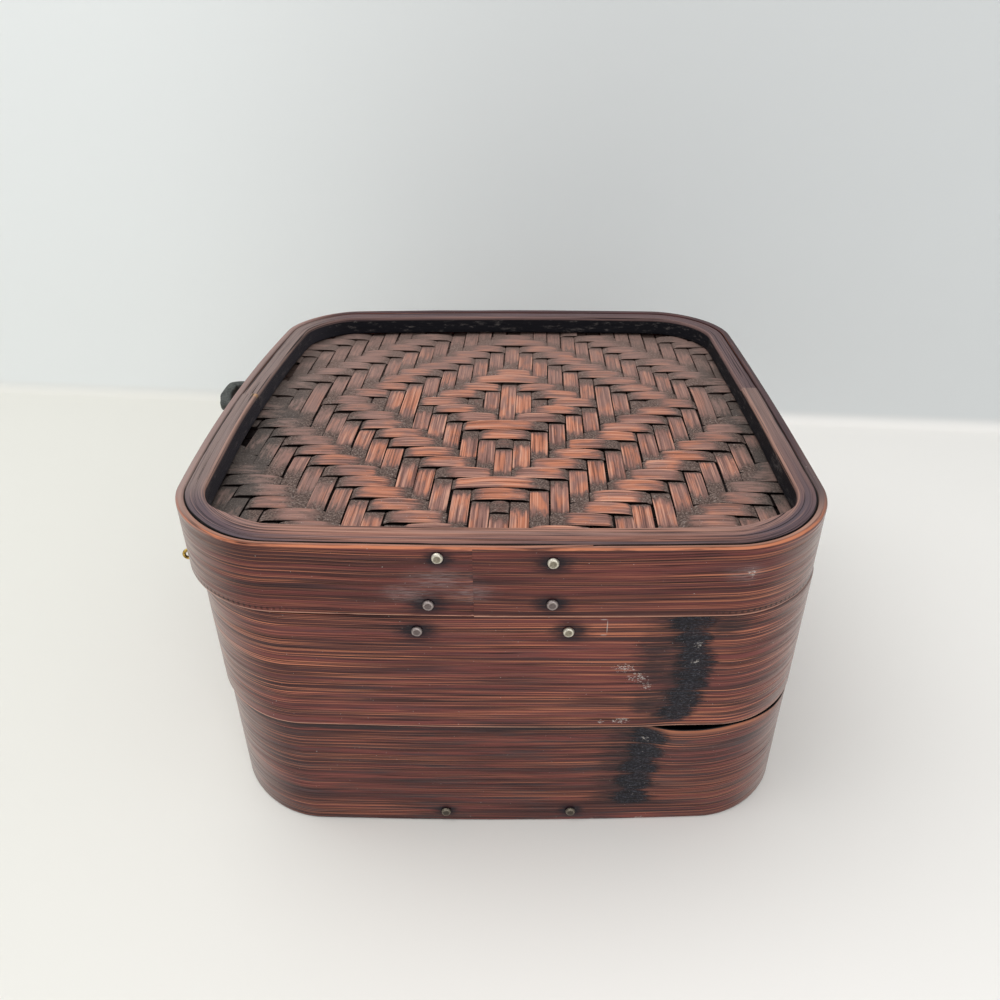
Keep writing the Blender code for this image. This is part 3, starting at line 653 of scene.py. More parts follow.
def bent_band(name, body, middle, bottom, top, finish, bare, seed, scars=(), lift=None, dip=None):
    outline = OUTLINES[body]
    walks = lap_walks(outline, middle)
    outer, inner = lap_insets(outline, middle, walks)
    around = (walks + outline.length / 2) % outline.length - outline.length / 2
    wave = hills(walks / (21 * MM), 0.5, seed) + 0.5 * hills(walks / (6 * MM), 0.5, seed + 1)
    base = bottom + EDGE_WAVE * (0.8 + 0.5 * wave)
    bent_up = lift(around) if lift else np.zeros(len(walks))
    base = base + bent_up
    bent_down = dip(around) if dip else np.zeros(len(walks))
    crest = top - EDGE_WAVE * (0.8 + 0.5 * hills(walks / (17 * MM), 1.5, seed + 2)) - bent_down
    rows = int((top - bottom) / ROW_STEP)
    insets, heights = section(outer, inner, base, crest, EDGE_ROUND, rows)
    on_face = np.abs(insets - outer[:, None]) < 1e-7
    away = np.minimum(heights - base[:, None], crest[:, None] - heights)
    depth = 0.5 + 0.35 * hills(walks[:, None] / (34 * MM), heights / (1.5 * MM), seed + 3)
    depth = depth + 0.25 * hills(walks[:, None] / (15 * MM), heights / (0.8 * MM), seed + 4)
    pushed = GROOVE * depth * fade(away, 0, 1.2 * MM)
    for walk, height, wide, high in scars:
        spread = ((walks[:, None] - walk * MM) / (wide * MM)) ** 2 + ((heights - height * MM) / (high * MM)) ** 2
        pits = hills(walks[:, None] / (1.6 * MM), heights / (1.1 * MM), seed + 5)
        pushed = pushed + np.exp(-spread * 1.2) * (0.05 + 0.09 * pits) * MM
    insets = insets + np.where(on_face, np.maximum(pushed, 0), 0) + CHORD_CLEARANCE
    share = np.clip((heights - base[:, None]) / (crest - base)[:, None], 0, 1)
    raised = bent_up[:, None] * (1 - share) - bent_down[:, None] * share
    lean = top_lean(around)[:, None] * fade(heights, top - LEAN_DEPTH, top) if dip else 0.0
    return carried(name, outline, walks, insets, heights, finish, raised, bare, lean)


def warp_lift(around):
    """The upper band's lower edge has curled up below the dark scar and round the front right corner."""
    walk = around / MM
    return EDGE_WARP * fade(walk, GAP_START, 55) * (0.38 + 0.62 * fade(walk, 84, 52)) * fade(walk, GAP_END, 90)


def edge_dip(around):
    """The lower band's top edge sags below it, most of all next to the dark scar."""
    walk = around / MM
    return EDGE_DIP * fade(walk, 41, 57) * (0.08 + 0.92 * fade(walk, 75, 60)) * fade(walk, 118, 90)


def top_lean(around):
    """There the lower band's top also leans out, so that the sag shows from the front."""
    return TOP_LEAN * fade(around / MM, 36, 52) * fade(around / MM, 106, 86)


def marks(outline, middle, spots):
    """Marks placed across the front, as distances along a strip that starts at the lap."""
    first = (middle - LAP_LENGTH / 2) / MM
    around = outline.length / MM
    return [(first + (walk - first) % around, height, wide, high) for walk, height, wide, high in spots]


LID = OUTLINES["lid"]
TIER_LAP = OUTLINES["lower_tier"].length / 2
LID_HALOS = marks(LID, LID_LAP_MIDDLE, ((-17.8, 115.8, 6.6, 4.4), (14.9, 114.3, 7.6, 5.2),
                                        (-21.5, 99.6, 9.0, 5.4), (15.0, 100.0, 8.4, 5.0)))
LID_HAZE_SPOTS = ((-17.5, 108.5, 15, 6.0), (-9.0, 104.0, 11, 5), (-27.0, 103.5, 12, 5))
LID_HAZES = marks(LID, LID_LAP_MIDDLE, LID_HAZE_SPOTS) + list(LID_HAZE_SPOTS[:2]) + [(70.0, 110.5, 9.0, 4.5)]
LID_CHIPS = marks(LID, LID_LAP_MIDDLE, ((72.0, 110.5, 4.0, 3.0),))
UPPER_HALOS = marks(OUTLINES["upper_tier"], TIER_LAP, ((-27.6, 88.8, 9.0, 5.6), (18.4, 88.8, 8.6, 6.0)))
UPPER_SCARS = marks(OUTLINES["upper_tier"], TIER_LAP, (
    (54.2, 92.5, 7.6, 6.0), (56.0, 84.5, 7.0, 6.5), (57.4, 77.0, 6.8, 7.0), (57.2, 69.0, 6.8, 7.0),
    (55.4, 61.0, 7.2, 6.5), (53.2, 54.5, 7.2, 5.0)))
UPPER_SHADOWS = marks(OUTLINES["upper_tier"], TIER_LAP, (
    (66.0, 90.5, 11.0, 7.0), (45.0, 77.0, 9.0, 17.0), (44.0, 58.0, 9.0, 9.0)))
UPPER_CHIPS = marks(OUTLINES["upper_tier"], TIER_LAP, (
    (35.5, 74.0, 8.0, 4.6), (40.0, 70.0, 7.5, 5.2), (43.0, 66.5, 5.0, 4.0), (36.0, 51.4, 7.5, 3.4),
    (29.5, 51.0, 3.0, 2.0), (57.5, 83.0, 3.0, 5.0), (57.5, 76.0, 4.0, 3.0)))
LOWER_HALOS = marks(OUTLINES["lower_tier"], TIER_LAP, ((-23.3, 5.3, 5.6, 4.0), (20.5, 5.3, 6.4, 4.4)))
LOWER_SCARS = marks(OUTLINES["lower_tier"], TIER_LAP, (
    (45.0, 42.5, 7.4, 5.5), (44.2, 35.0, 7.2, 6.0), (43.0, 27.5, 7.6, 6.5), (42.2, 19.5, 7.4, 6.0),
    (41.5, 12.5, 7.6, 5.0)))
LOWER_CHIPS = marks(OUTLINES["lower_tier"], TIER_LAP, (
    (29.0, 0.8, 3.4, 1.6), (45.5, 0.8, 7.0, 1.7), (44.0, 41.5, 3.4, 2.4)))
SCRATCHES = marks(OUTLINES["upper_tier"], TIER_LAP, (
    (28.2, 93.3, 1.4, 0.22), (29.3, 90.6, 0.2, 3.2), (28.4, 87.4, 1.3, 0.2)))

LID_SHARES = {"light": 0.87, "bright": 0.85, "smudge": 0.4, "top_wear": 0.95, "low_line": 0.8, "top_stain_and_shade": 0,
              "top_shade_and_dirt": 0, "gap": 0, "crimp": 1}
UPPER_SHARES = {"light": 1.02, "bright": 1.25, "smudge": 0.5, "top_wear": 0, "low_line": 0.8, "top_stain_and_shade": 0,
                "top_shade_and_dirt": 1, "gap": 0, "crimp": 0}
LOWER_SHARES = {"light": 0.95, "bright": 0.75, "smudge": 0.95, "top_wear": 0.8, "low_line": 0, "top_stain_and_shade": 0.9,
                "top_shade_and_dirt": 1, "gap": 1, "crimp": 0}
BANDS = (
    ("lid", 11, LID_LAP_MIDDLE, LID_BOTTOM, LID_TOP, LID_HALOS, (), (), LID_HAZES, LID_CHIPS, LID_SHARES, None, None),
    ("upper", 30, TIER_LAP, UPPER_BOTTOM, UPPER_TOP, UPPER_HALOS, UPPER_SCARS, UPPER_SHADOWS, (), UPPER_CHIPS,
     UPPER_SHARES, warp_lift, None),
    ("lower", 50, TIER_LAP, LOWER_BOTTOM, LOWER_TOP, LOWER_HALOS, LOWER_SCARS, (), (), LOWER_CHIPS, LOWER_SHARES,
     None, edge_dip),
)
for name, seed, middle, low, high, halos, scars, shadows, hazes, chips, shares, lift, dip in BANDS:
    details = (seed, halos, list(scars), list(shadows), hazes, chips, high / MM, low / MM, shares)
    lacquered = band_finish(name + "_bamboo", *details)
    bare = band_finish(name + "_bare_bamboo", *details, coat=0.0)
    body = "lid" if name == "lid" else name + "_tier"
    band = bent_band(name + "_band_strip", body, middle, low, high, lacquered, bare, seed // 10, scars, lift, dip)
    finish_piece(band, body, "bamboo_band", name + "_band")

# %% [markdown]
# The finish of the hoops
# The hoops are split canes that show their inner wood: greyer than the bands, with long splits along the
# fibres. The stain is rubbed off their edges. The walls of the lid's recess are painted almost black as shade,
# a little lighter on the left, with grey dust over it, and the face of each hoop against the band is painted
# black as shade.

# %% Mix the hoops' finish
HOOP_TAN = paint("946759")
HOOP_GREY = paint("635254")
HOOP_LEFT = paint("8b7a74")
HOOP_PALE = paint("866f68")
HOOP_CORNER = paint("544a52")
SPLINTER_TAN = paint("b99468")
RECESS_DUST = paint("6f6966")
HOOP_DARK = paint("1b1517")
HOOP_LIGHT = paint("bd907d")
RECESS_SHADE_BLACK = paint("16161b")
RECESS_SHADE_LEFT = paint("3a383e")
RIM_INNER_EDGE = 8.9


def hoop_finish(name, seed, warm, shade_below=None, lit_edge=0.0, ends=None):
    """A hoop's finish. Below shade_below, a height in millimetres, the inner wall is painted black as shade.

    ends are the places of the hoop's two ends, where it is paler.
    """
    made = Finish(name)
    made.shader.inputs["Specular IOR Level"].default_value = 0.1
    grain = made.grain()
    along, up, depth = made.parts(grain)
    front = made.add("Attribute", output="Fac", attribute_name="front")
    left = made.add("Attribute", output="Fac", attribute_name="left")
    lines = made.noise(grain, 60, 0.45, 0.4, 3, 0.6, seed)
    fine = made.noise(grain, 22, 0.16, 0.16, 2, 0.6, seed + 1)
    mixed = made.math("ADD", made.math("MULTIPLY", lines, 0.7), made.math("MULTIPLY", fine, 0.3))
    tone = made.step(made.noise(grain, 70, 6, 2, 2, 0.5, seed + 2), 0.35, 0.65)
    warmth = made.math("MULTIPLY", made.math("MULTIPLY_ADD", front, 0.75, 0.25), warm)
    base = made.blend(made.math("MULTIPLY", tone, warmth), HOOP_GREY, HOOP_TAN)
    base = made.blend(made.math("MULTIPLY", left, made.math("MULTIPLY_ADD", front, -0.8, 0.85)), base, HOOP_LEFT)
    shine = 1.0
    if ends:
        pale = made.math("MULTIPLY", made.step(along, 108, ends[1] - 4), 0.8)
        base = made.blend(pale, base, HOOP_PALE)
        corner = made.math("MAXIMUM", made.spot(made.join(along, 0, 0), 92, 0, 34, 34, core=0.2),
                           made.spot(made.join(along, 0, 0), -92, 0, 34, 34, core=0.2))
        base = made.blend(made.math("MULTIPLY", corner, 0.8), base, HOOP_CORNER)
        shine = made.math("MULTIPLY_ADD", corner, -0.6, 1.0)
        splinter = made.math("MULTIPLY", made.step(along, ends[0] + 3.2, ends[0] + 1.6), made.step(depth, 6.6, 7.8))
        base = made.blend(splinter, base, SPLINTER_TAN)
    strong = made.math("MULTIPLY_ADD", front, 0.55, 0.3)
    colour = made.blend(made.math("MULTIPLY", made.step(mixed, 0.49, 0.4), strong), base, HOOP_DARK)
    light = made.math("MULTIPLY", made.step(mixed, 0.55, 0.64), made.math("MULTIPLY_ADD", warmth, 0.7, 0.15))
    colour = made.blend(made.math("MULTIPLY", light, shine), colour, HOOP_LIGHT)
    edge = made.math("MULTIPLY", made.step(depth, RIM_INNER_EDGE - 1.3, RIM_INNER_EDGE - 0.5), lit_edge)
    colour = made.blend(made.math("MULTIPLY", edge, made.step(mixed, 0.4, 0.55)), colour, HOOP_LIGHT)
    split = made.step(made.noise(grain, 90, 0.8, 0.8, 2, 0.5, seed + 4), 0.4, 0.37)
    colour = made.blend(made.math("MULTIPLY", split, 0.85), colour, HOOP_DARK)
    # Painted shade: the hoop's face that lies against the band is painted black, so the crack between them looks
    # dark.
    wander = made.math("MULTIPLY_ADD", made.noise(grain, 26, 20, 20, 2, 0.5, seed + 5), 1.6, -0.8)
    seam_end = made.math("MULTIPLY_ADD", front, -0.05, 3.3)
    seam = made.step(made.math("SUBTRACT", made.math("ADD", depth, wander), seam_end), 0.15, -0.15)
    colour = made.blend(made.math("MULTIPLY", seam, 0.97), colour, GAP_BLACK)
    if shade_below:
        # Painted shade: the recess wall below shade_below is painted near-black, a little lighter on the left, with
        # dust smeared over it.
        shadow = made.math("MULTIPLY", made.step(up, shade_below, shade_below - 1.0), made.step(depth, 8.0, 8.6))
        smear = made.step(made.noise(grain, 5, 1.6, 2, 4, 0.7, seed + 3), 0.52, 0.76)
        shaded_recess = made.blend(left, RECESS_SHADE_BLACK, RECESS_SHADE_LEFT)
        shaded_recess = made.blend(made.math("MULTIPLY", smear, 0.75), shaded_recess, RECESS_DUST)
        colour = made.blend(shadow, colour, shaded_recess)
    made.set("Base Color", colour)
    made.set("Roughness", made.math("MULTIPLY_ADD", mixed, -0.2, 0.66))
    made.bump(mixed, 0.35 * MM)
    return made.material


# %% [markdown]
# The hoops
# The lid's rim is a thick split hoop in two pieces, whose ends meet at mid-depth on both sides. Thinner hoops
# stiffen the other edges and carry the floors, and a collar with a thin lip locates what stands on a tier.
# Each is a section carried along part of the outline. Its inner edge wanders a little, as a split cane does.

# %% Bend the hoops
INSIDE = 2.7 * MM
RIM_THICK = 6.3 * MM
FRONT_SWELL = 3.0 * MM
HOOP_THICK = 2.6 * MM
LIP_THICK = 2.2 * MM
NEST_PLAY = 2.6 * MM
COLLAR_DEPTH = 12.0 * MM
LIP_RISE = 6.0 * MM
END_GAP = 0.25 * MM
RIM_JOINT_RIGHT_Y = 10.2 * MM
RIM_JOINT_LEFT_Y = 3.0 * MM


def side_walk(outline, y, left=False):
    """The distance at which the right or left side passes this y, in the body's axes."""
    walks = np.linspace(0, outline.length, 20000)
    ys = np.interp(walks, outline.table[0], outline.table[2])
    xs = np.interp(walks, outline.table[0], outline.table[1])
    wanted = (xs < 0) if left else (xs > 0)
    return walks[np.where(wanted, np.abs(ys - y), np.inf).argmin()]


def split_hoop(name, body, start, end, outer, inner, bottom, top, finish, seed, swell=0.0, nodes=()):
    """swell is how much thicker the hoop is along the front."""
    outline = OUTLINES[body]
    wander = 0.25 * MM
    walks = np.linspace(start, end, int((end - start) / STATION))
    front = fade(-outline.at(walks, 0)[1], 0.8 * outline.half_y, 0.98 * outline.half_y)
    drift = wander * hills(walks / (28 * MM), 0.5, seed) + swell * front
    crest = top - wander * 0.6 * (1 + hills(walks / (33 * MM), 2.5, seed))
    rows = max(3, int((top - bottom) / (1.2 * MM)))
    across = max(3, int((inner - outer) / (0.5 * MM)))
    insets, heights = section(outer, inner + drift, bottom, crest, 0.8 * MM, rows, rows, across)
    rough = hills(walks[:, None] / (25 * MM), insets / (0.7 * MM) + heights / (0.7 * MM), seed + 1)
    heights = np.where(heights > crest[:, None] - 0.05 * MM, heights - 0.08 * MM * (1 + rough), heights)
    obj = carried(name, outline, walks, insets, heights, finish)
    finish_piece(obj, body, "bamboo_hoop", *nodes)
    return obj


rim_right = side_walk(LID, RIM_JOINT_RIGHT_Y)
rim_left = side_walk(LID, RIM_JOINT_LEFT_Y, left=True)
rim_ends = ((rim_left - LID.length) / MM, rim_right / MM)
rim_front_finish = hoop_finish("front_rim_bamboo", 70, 1.0, LID_TOP / MM - 0.9, 0.5, rim_ends)
rim_back_finish = hoop_finish("back_rim_bamboo", 80, 0.25, LID_TOP / MM - 1.5, 0.2)
plain_hoop_finish = hoop_finish("inner_hoop_bamboo", 90, 0.6)
split_hoop("lid_rim_front_cane", "lid", rim_left + END_GAP - LID.length, rim_right - END_GAP, INSIDE,
           INSIDE + RIM_THICK, RIM_BOTTOM, RIM_TOP, rim_front_finish, 11, FRONT_SWELL, ("lid_rim_front",))
split_hoop("lid_rim_back_cane", "lid", rim_right + END_GAP, rim_left - END_GAP, INSIDE,
           INSIDE + RIM_THICK, RIM_BOTTOM, BACK_RIM_TOP, rim_back_finish, 12, nodes=("lid_rim_back",))
for node, body in (("lower_base_hoop", "lower_tier"), ("upper_floor_hoop", "upper_tier"), ("lid_lower_hoop", "lid")):
    low, high = (corner.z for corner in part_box(node))
    half = OUTLINES[body].length / 2
    split_hoop(node + "_cane", body, half + END_GAP, 3 * half - END_GAP, INSIDE, INSIDE + HOOP_THICK, low, high,
               plain_hoop_finish, 13 + len(node), nodes=(node,))


def stepped_collar(node, body, edge):
    """A thick hoop whose upper part is pared to a lip that stands above the tier's edge."""
    outline = OUTLINES[body]
    half = outline.length / 2
    walks = np.linspace(half + END_GAP, 3 * half - END_GAP, int(outline.length / STATION))
    lip = INSIDE + HOOP_THICK + NEST_PLAY - 0.3 * MM + 0.3 * MM
    inner = lip + LIP_THICK
    shoulder = edge - 0.6 * MM
    soft = 0.5 * MM
    corners = [(INSIDE, edge - COLLAR_DEPTH), (INSIDE, shoulder - soft), (INSIDE + soft, shoulder),
               (lip - soft, shoulder), (lip, shoulder + soft), (lip, edge + LIP_RISE - soft),
               (lip + 0.3 * soft, edge + LIP_RISE - 0.3 * soft), (lip + soft, edge + LIP_RISE),
               (inner - soft, edge + LIP_RISE), (inner - 0.3 * soft, edge + LIP_RISE - 0.3 * soft),
               (inner, edge + LIP_RISE - soft), (inner, edge - COLLAR_DEPTH + soft),
               (inner - soft, edge - COLLAR_DEPTH)]
    points = []
    for (first_in, first_up), (next_in, next_up) in zip(corners, corners[1:] + corners[:1]):
        pieces = max(1, round(math.hypot(next_in - first_in, next_up - first_up) / (1.2 * MM)))
        points += [(first_in + (next_in - first_in) * k / pieces, first_up + (next_up - first_up) * k / pieces)
                   for k in range(pieces)]
    points = np.array(points)
    rough = 0.06 * MM * hills(walks[:, None] / (26 * MM), np.arange(len(points))[None] / 1.3, 17)
    insets = points[None, :, 0] + np.abs(rough)
    heights = np.broadcast_to(points[None, :, 1], insets.shape)
    obj = carried(node + "_cane", outline, walks, insets, heights, plain_hoop_finish)
    finish_piece(obj, body, "bamboo_hoop", node)


stepped_collar("lower_collar", "lower_tier", LOWER_TOP)
stepped_collar("upper_collar", "upper_tier", UPPER_TOP)

# %% [markdown]
# The finish of the woven strips
# The mat's strips are worn to orange where they stand up, with a pale painted highlight along the tops of the
# long arches, and keep dark stain and grey dust where they sink towards the next strip. Where a strip passes
# under another, and on its thin side faces, it is painted black as shade; a pale grey film towards the back is
# dust and painted sheen. The mesh knows how high each point of a strip stands, in an attribute named grain
# whose third part is that rise, and each strip has its own random tone.

# %% Mix the woven strips' finish
WEAVE_BASE = paint("8a645b")
WEAVE_DEEP = paint("6c4f47")
WEAVE_ORANGE = paint("bc7659")
WEAVE_WORN_HIGHLIGHT = paint("d49f88")
WEAVE_DARK = paint("482c27")
WEAVE_GREY = paint("bdb6b0")
WEAVE_GRIME = paint("4a3b36")
GRIME_LIGHT = paint("7c6a62")
WALL_GRIME = paint("4a4744")
DUST_AND_SHEEN_FILM = paint("957b72")
WEAVE_DUST = paint("d2ccc5")
WEAVE_FADED = paint("8a736b")
WEAVE_SHADE_BLACK = paint("0e0605")
STRIP_EDGE = 2.2
STRIP_SIDE = 3.02


def weave_finish(name, seed, dust_share):
    made = Finish(name)
    made.shader.inputs["Specular IOR Level"].default_value = 0.12
    place = made.add("Attribute", output="Vector", attribute_name="grain")
    along, across, rise = made.parts(place)
    strand = made.add("Attribute", output="Fac", attribute_name="strand")
    age = made.add("Attribute", output="Fac", attribute_name="age")
    spread = made.math("MULTIPLY", strand, 400.0)
    grain = made.join(made.math("MULTIPLY_ADD", along, 1 / MM, spread), made.math("MULTIPLY", across, 1 / MM), spread)
    lines = made.noise(grain, 42, 0.75, 1, 2, 0.55, seed)
    fine = made.noise(grain, 22, 0.24, 1, 2, 0.6, seed + 1)
    mixed = made.math("ADD", made.math("MULTIPLY", lines, 0.65), made.math("MULTIPLY", fine, 0.35))
    blotch = made.noise(grain, 6, 1.6, 1, 3, 0.6, seed + 2)
    exposed = made.math("ADD", rise, made.math("MULTIPLY_ADD", blotch, 1.3, -0.65))
    exposed = made.math("ADD", exposed, made.math("MULTIPLY_ADD", mixed, 0.7, -0.35))
    exposed = made.math("MULTIPLY_ADD", age, -0.3, exposed)
    tone = made.math("FRACT", made.math("MULTIPLY", strand, 7.3))
    wood = made.blend(made.step(exposed, 0.25, 0.7), WEAVE_DEEP, WEAVE_BASE)
    patch = made.math("ADD", made.noise(grain, 14, 3.5, 1, 2, 0.5, seed + 5), made.math("MULTIPLY", tone, 0.16))
    patch = made.math("MULTIPLY", made.step(patch, 0.49, 0.68), made.step(exposed, 0.4, 0.85))
    wood = made.blend(made.math("MULTIPLY", patch, made.math("MULTIPLY_ADD", age, -0.5, 0.95)), wood, WEAVE_ORANGE)
    wood = made.blend(made.math("MULTIPLY", made.step(mixed, 0.49, 0.4), 0.7), wood, WEAVE_DARK)
    from_middle = made.math("ABSOLUTE", made.math("MULTIPLY", across, 1 / MM))
    edge = made.math("MULTIPLY", made.step(from_middle, STRIP_EDGE, STRIP_EDGE + 0.6), 0.06)
    bright_lines = made.step(made.math("ADD", mixed, edge), 0.5, 0.64)
    # Wear and painted highlight: pale lines along the tops of the strips where they arch up.
    worn_highlight = made.math("MULTIPLY", bright_lines, made.step(exposed, 0.35, 0.95))
    worn_highlight = made.math("MULTIPLY", worn_highlight, made.math("MULTIPLY_ADD", age, -0.4, 0.85))
    wood = made.blend(worn_highlight, wood, WEAVE_WORN_HIGHLIGHT)
    wood = made.blend(made.math("MULTIPLY", age, 0.45), wood, WEAVE_FADED)
    grit = made.noise(grain, 0.8, 0.62, 1, 3, 0.8, seed + 3)
    grime = made.blend(made.step(grit, 0.42, 0.62), WEAVE_GRIME, GRIME_LIGHT)
    grime = made.blend(made.math("MULTIPLY", made.step(grit, 0.6, 0.7), 0.75), grime, WEAVE_GREY)
    grime = made.blend(made.math("MULTIPLY", made.step(age, 1.1, 1.7), 0.65), grime, WALL_GRIME)
    wear = made.step(exposed, 0.08, 0.6)
    colour = made.blend(wear, grime, wood)
    dusty = made.step(made.noise(grain, 0.6, 0.55, 1, 2, 0.7, seed + 4), 0.66, 0.73)
    colour = made.blend(made.math("MULTIPLY", dusty, dust_share), colour, WEAVE_DUST)
    # Painted shade: where a strip passes under another, and on its thin side faces, it is painted black.
    sunk = made.add("Attribute", output="Fac", attribute_name="sunk")
    ragged = made.math("MULTIPLY_ADD", blotch, 0.8, -0.4)
    dark = made.step(made.math("ADD", sunk, ragged), 0.35, 0.65)
    dark = made.math("MAXIMUM", dark, made.step(from_middle, STRIP_SIDE, STRIP_SIDE + 0.06))
    colour = made.blend(dark, colour, WEAVE_SHADE_BLACK)
    # Dust and painted sheen: a pale grey film over the mat, stronger towards the back.
    back = made.add("Attribute", output="Fac", attribute_name="back")
    colour = made.blend(made.math("MULTIPLY", back, 0.34), colour, DUST_AND_SHEEN_FILM)
    made.set("Base Color", colour)
    made.set("Roughness", made.math("MULTIPLY_ADD", wear, -0.2, 0.7))
    made.bump(made.math("ADD", mixed, made.math("MULTIPLY", grit, 0.3)), 0.28 * MM)
    return made.material


# %% [markdown]
# The lid's woven panel
# The mat is a twill of flat strips in nested diamonds. A strip that runs across the basket (a weft) lies over
# a lengthwise strip (a warp) for three crossings, then under it for three, and each row shifts the start by
# one, outwards from a centre line. The rule below says which strip is on top at a crossing. A strip's height
# follows the rule from crossing to crossing, and a long float arches up a little more. Modelling every strip
# with its real thickness gives the dark gaps where a strip dives, which a bump map can't.
# The strips' finish also paints black, as shade, where a strip passes under another and on its side faces.

# %% Weave a mat
STRIP_THICK = 0.5 * MM
TOP_SHAPE = ((-0.5, 0.1), (-0.485, 0.72), (-0.44, 0.92), (-0.22, 0.99), (0.0, 1.0), (0.22, 0.99), (0.44, 0.92),
             (0.485, 0.72), (0.5, 0.1), (0.4, -0.9), (0.0, -1.0), (-0.4, -0.9))
WEAVE_STEP = 1.05 * MM
WEAVE_WIDTH = 6.2 * MM
BACK_LIFT = 0.2 * MM


def diamond_over(column, row):
    """True where the weft lies over the warp, in nested diamonds."""
    return (abs(column) + abs(row) + 3) % 6 < 3


def twill_over(column, row):
    """True where the weft lies over the warp, in a plain slanting twill."""
    return (column + row) % 4 < 2


def strip_profile(places, pitch, over, amount, crown, seed):
    """A strip's height, level, wear and arch, for places along it. over(k) is True where it is on top."""
    first = math.floor(places.min() / pitch) - 2
    last = math.ceil(places.max() / pitch) + 2
    up = np.array([1.0 if over(k) else -1.0 for k in range(first, last + 1)])
    position = places / pitch - first
    k = np.floor(position).astype(int)
    share = fade(position - k, 0.22, 0.78)
    level = up[k] * (1 - share) + up[k + 1] * share
    runs = np.zeros(len(up))
    middles = np.zeros(len(up))
    start = 0
    for index in range(1, len(up) + 1):
        if index == len(up) or up[index] != up[start]:
            runs[start:index] = index - start
            middles[start:index] = (start + index - 1) / 2
            start = index
    nearest = np.clip(np.round(position).astype(int), 0, len(up) - 1)
    half = runs[nearest] / 2 + 0.15
    arch = np.clip(1 - ((position - middles[nearest]) / half) ** 2, 0, 1)
    long_run = np.minimum(runs[nearest], 5) / 3
    lifted = np.maximum(level, 0) * arch * long_run
    off_centre = 0.55 * hills(middles[nearest] * 1.7, seed + 0.5, 41)
    worn = np.clip(1 - np.abs((position - middles[nearest]) / half - off_centre) ** 2.2, 0, 1)
    free = np.clip(level, 0, 1) * worn * np.clip(long_run * 0.9 - 0.02, 0, 1.2)
    return amount * level + crown * lifted, level, free, arch


def age_at(x, y):
    """How old and dusty the mat looks at a place: little in the front middle, much near the edges and back."""
    away = np.hypot((x - 14 * MM) / (92 * MM), (y + 38 * MM) / (142 * MM))
    patches = 0.22 * hills(x / (17 * MM) + 9, y / (17 * MM) + 9, 77)
    left = 0.25 * fade(-x, 30 * MM, 95 * MM)
    to_wall = (np.abs((x - 5.9 * MM) / (91 * MM)) ** 9 + np.abs((y - 0.2 * MM) / (91.5 * MM)) ** 9) ** (1 / 9)
    by_wall = fade(to_wall + 0.05 * hills(x / (9 * MM), y / (9 * MM), 78), 0.85, 1.0)
    by_wall = by_wall * (0.85 - 0.35 * fade(y, 40 * MM, 90 * MM))
    return np.clip(fade(away + patches, 0.35, 1.25) + left, 0, 1.1) + by_wall


def line_reach(corners, across, low, high):
    """How far a line at this place runs inside a closed outline, both ways. low and high start wide."""
    following = np.roll(corners, -1, axis=0)
    side = (corners[:, 0] - across) * (following[:, 0] - across) < 0
    first, second = corners[side], following[side]
    crossings = first[:, 1] + (second[:, 1] - first[:, 1]) * (across - first[:, 0]) / (second[:, 0] - first[:, 0])
    if len(crossings) < 2:
        return 0, 0
    return max(low, crossings.min()), min(high, crossings.max())


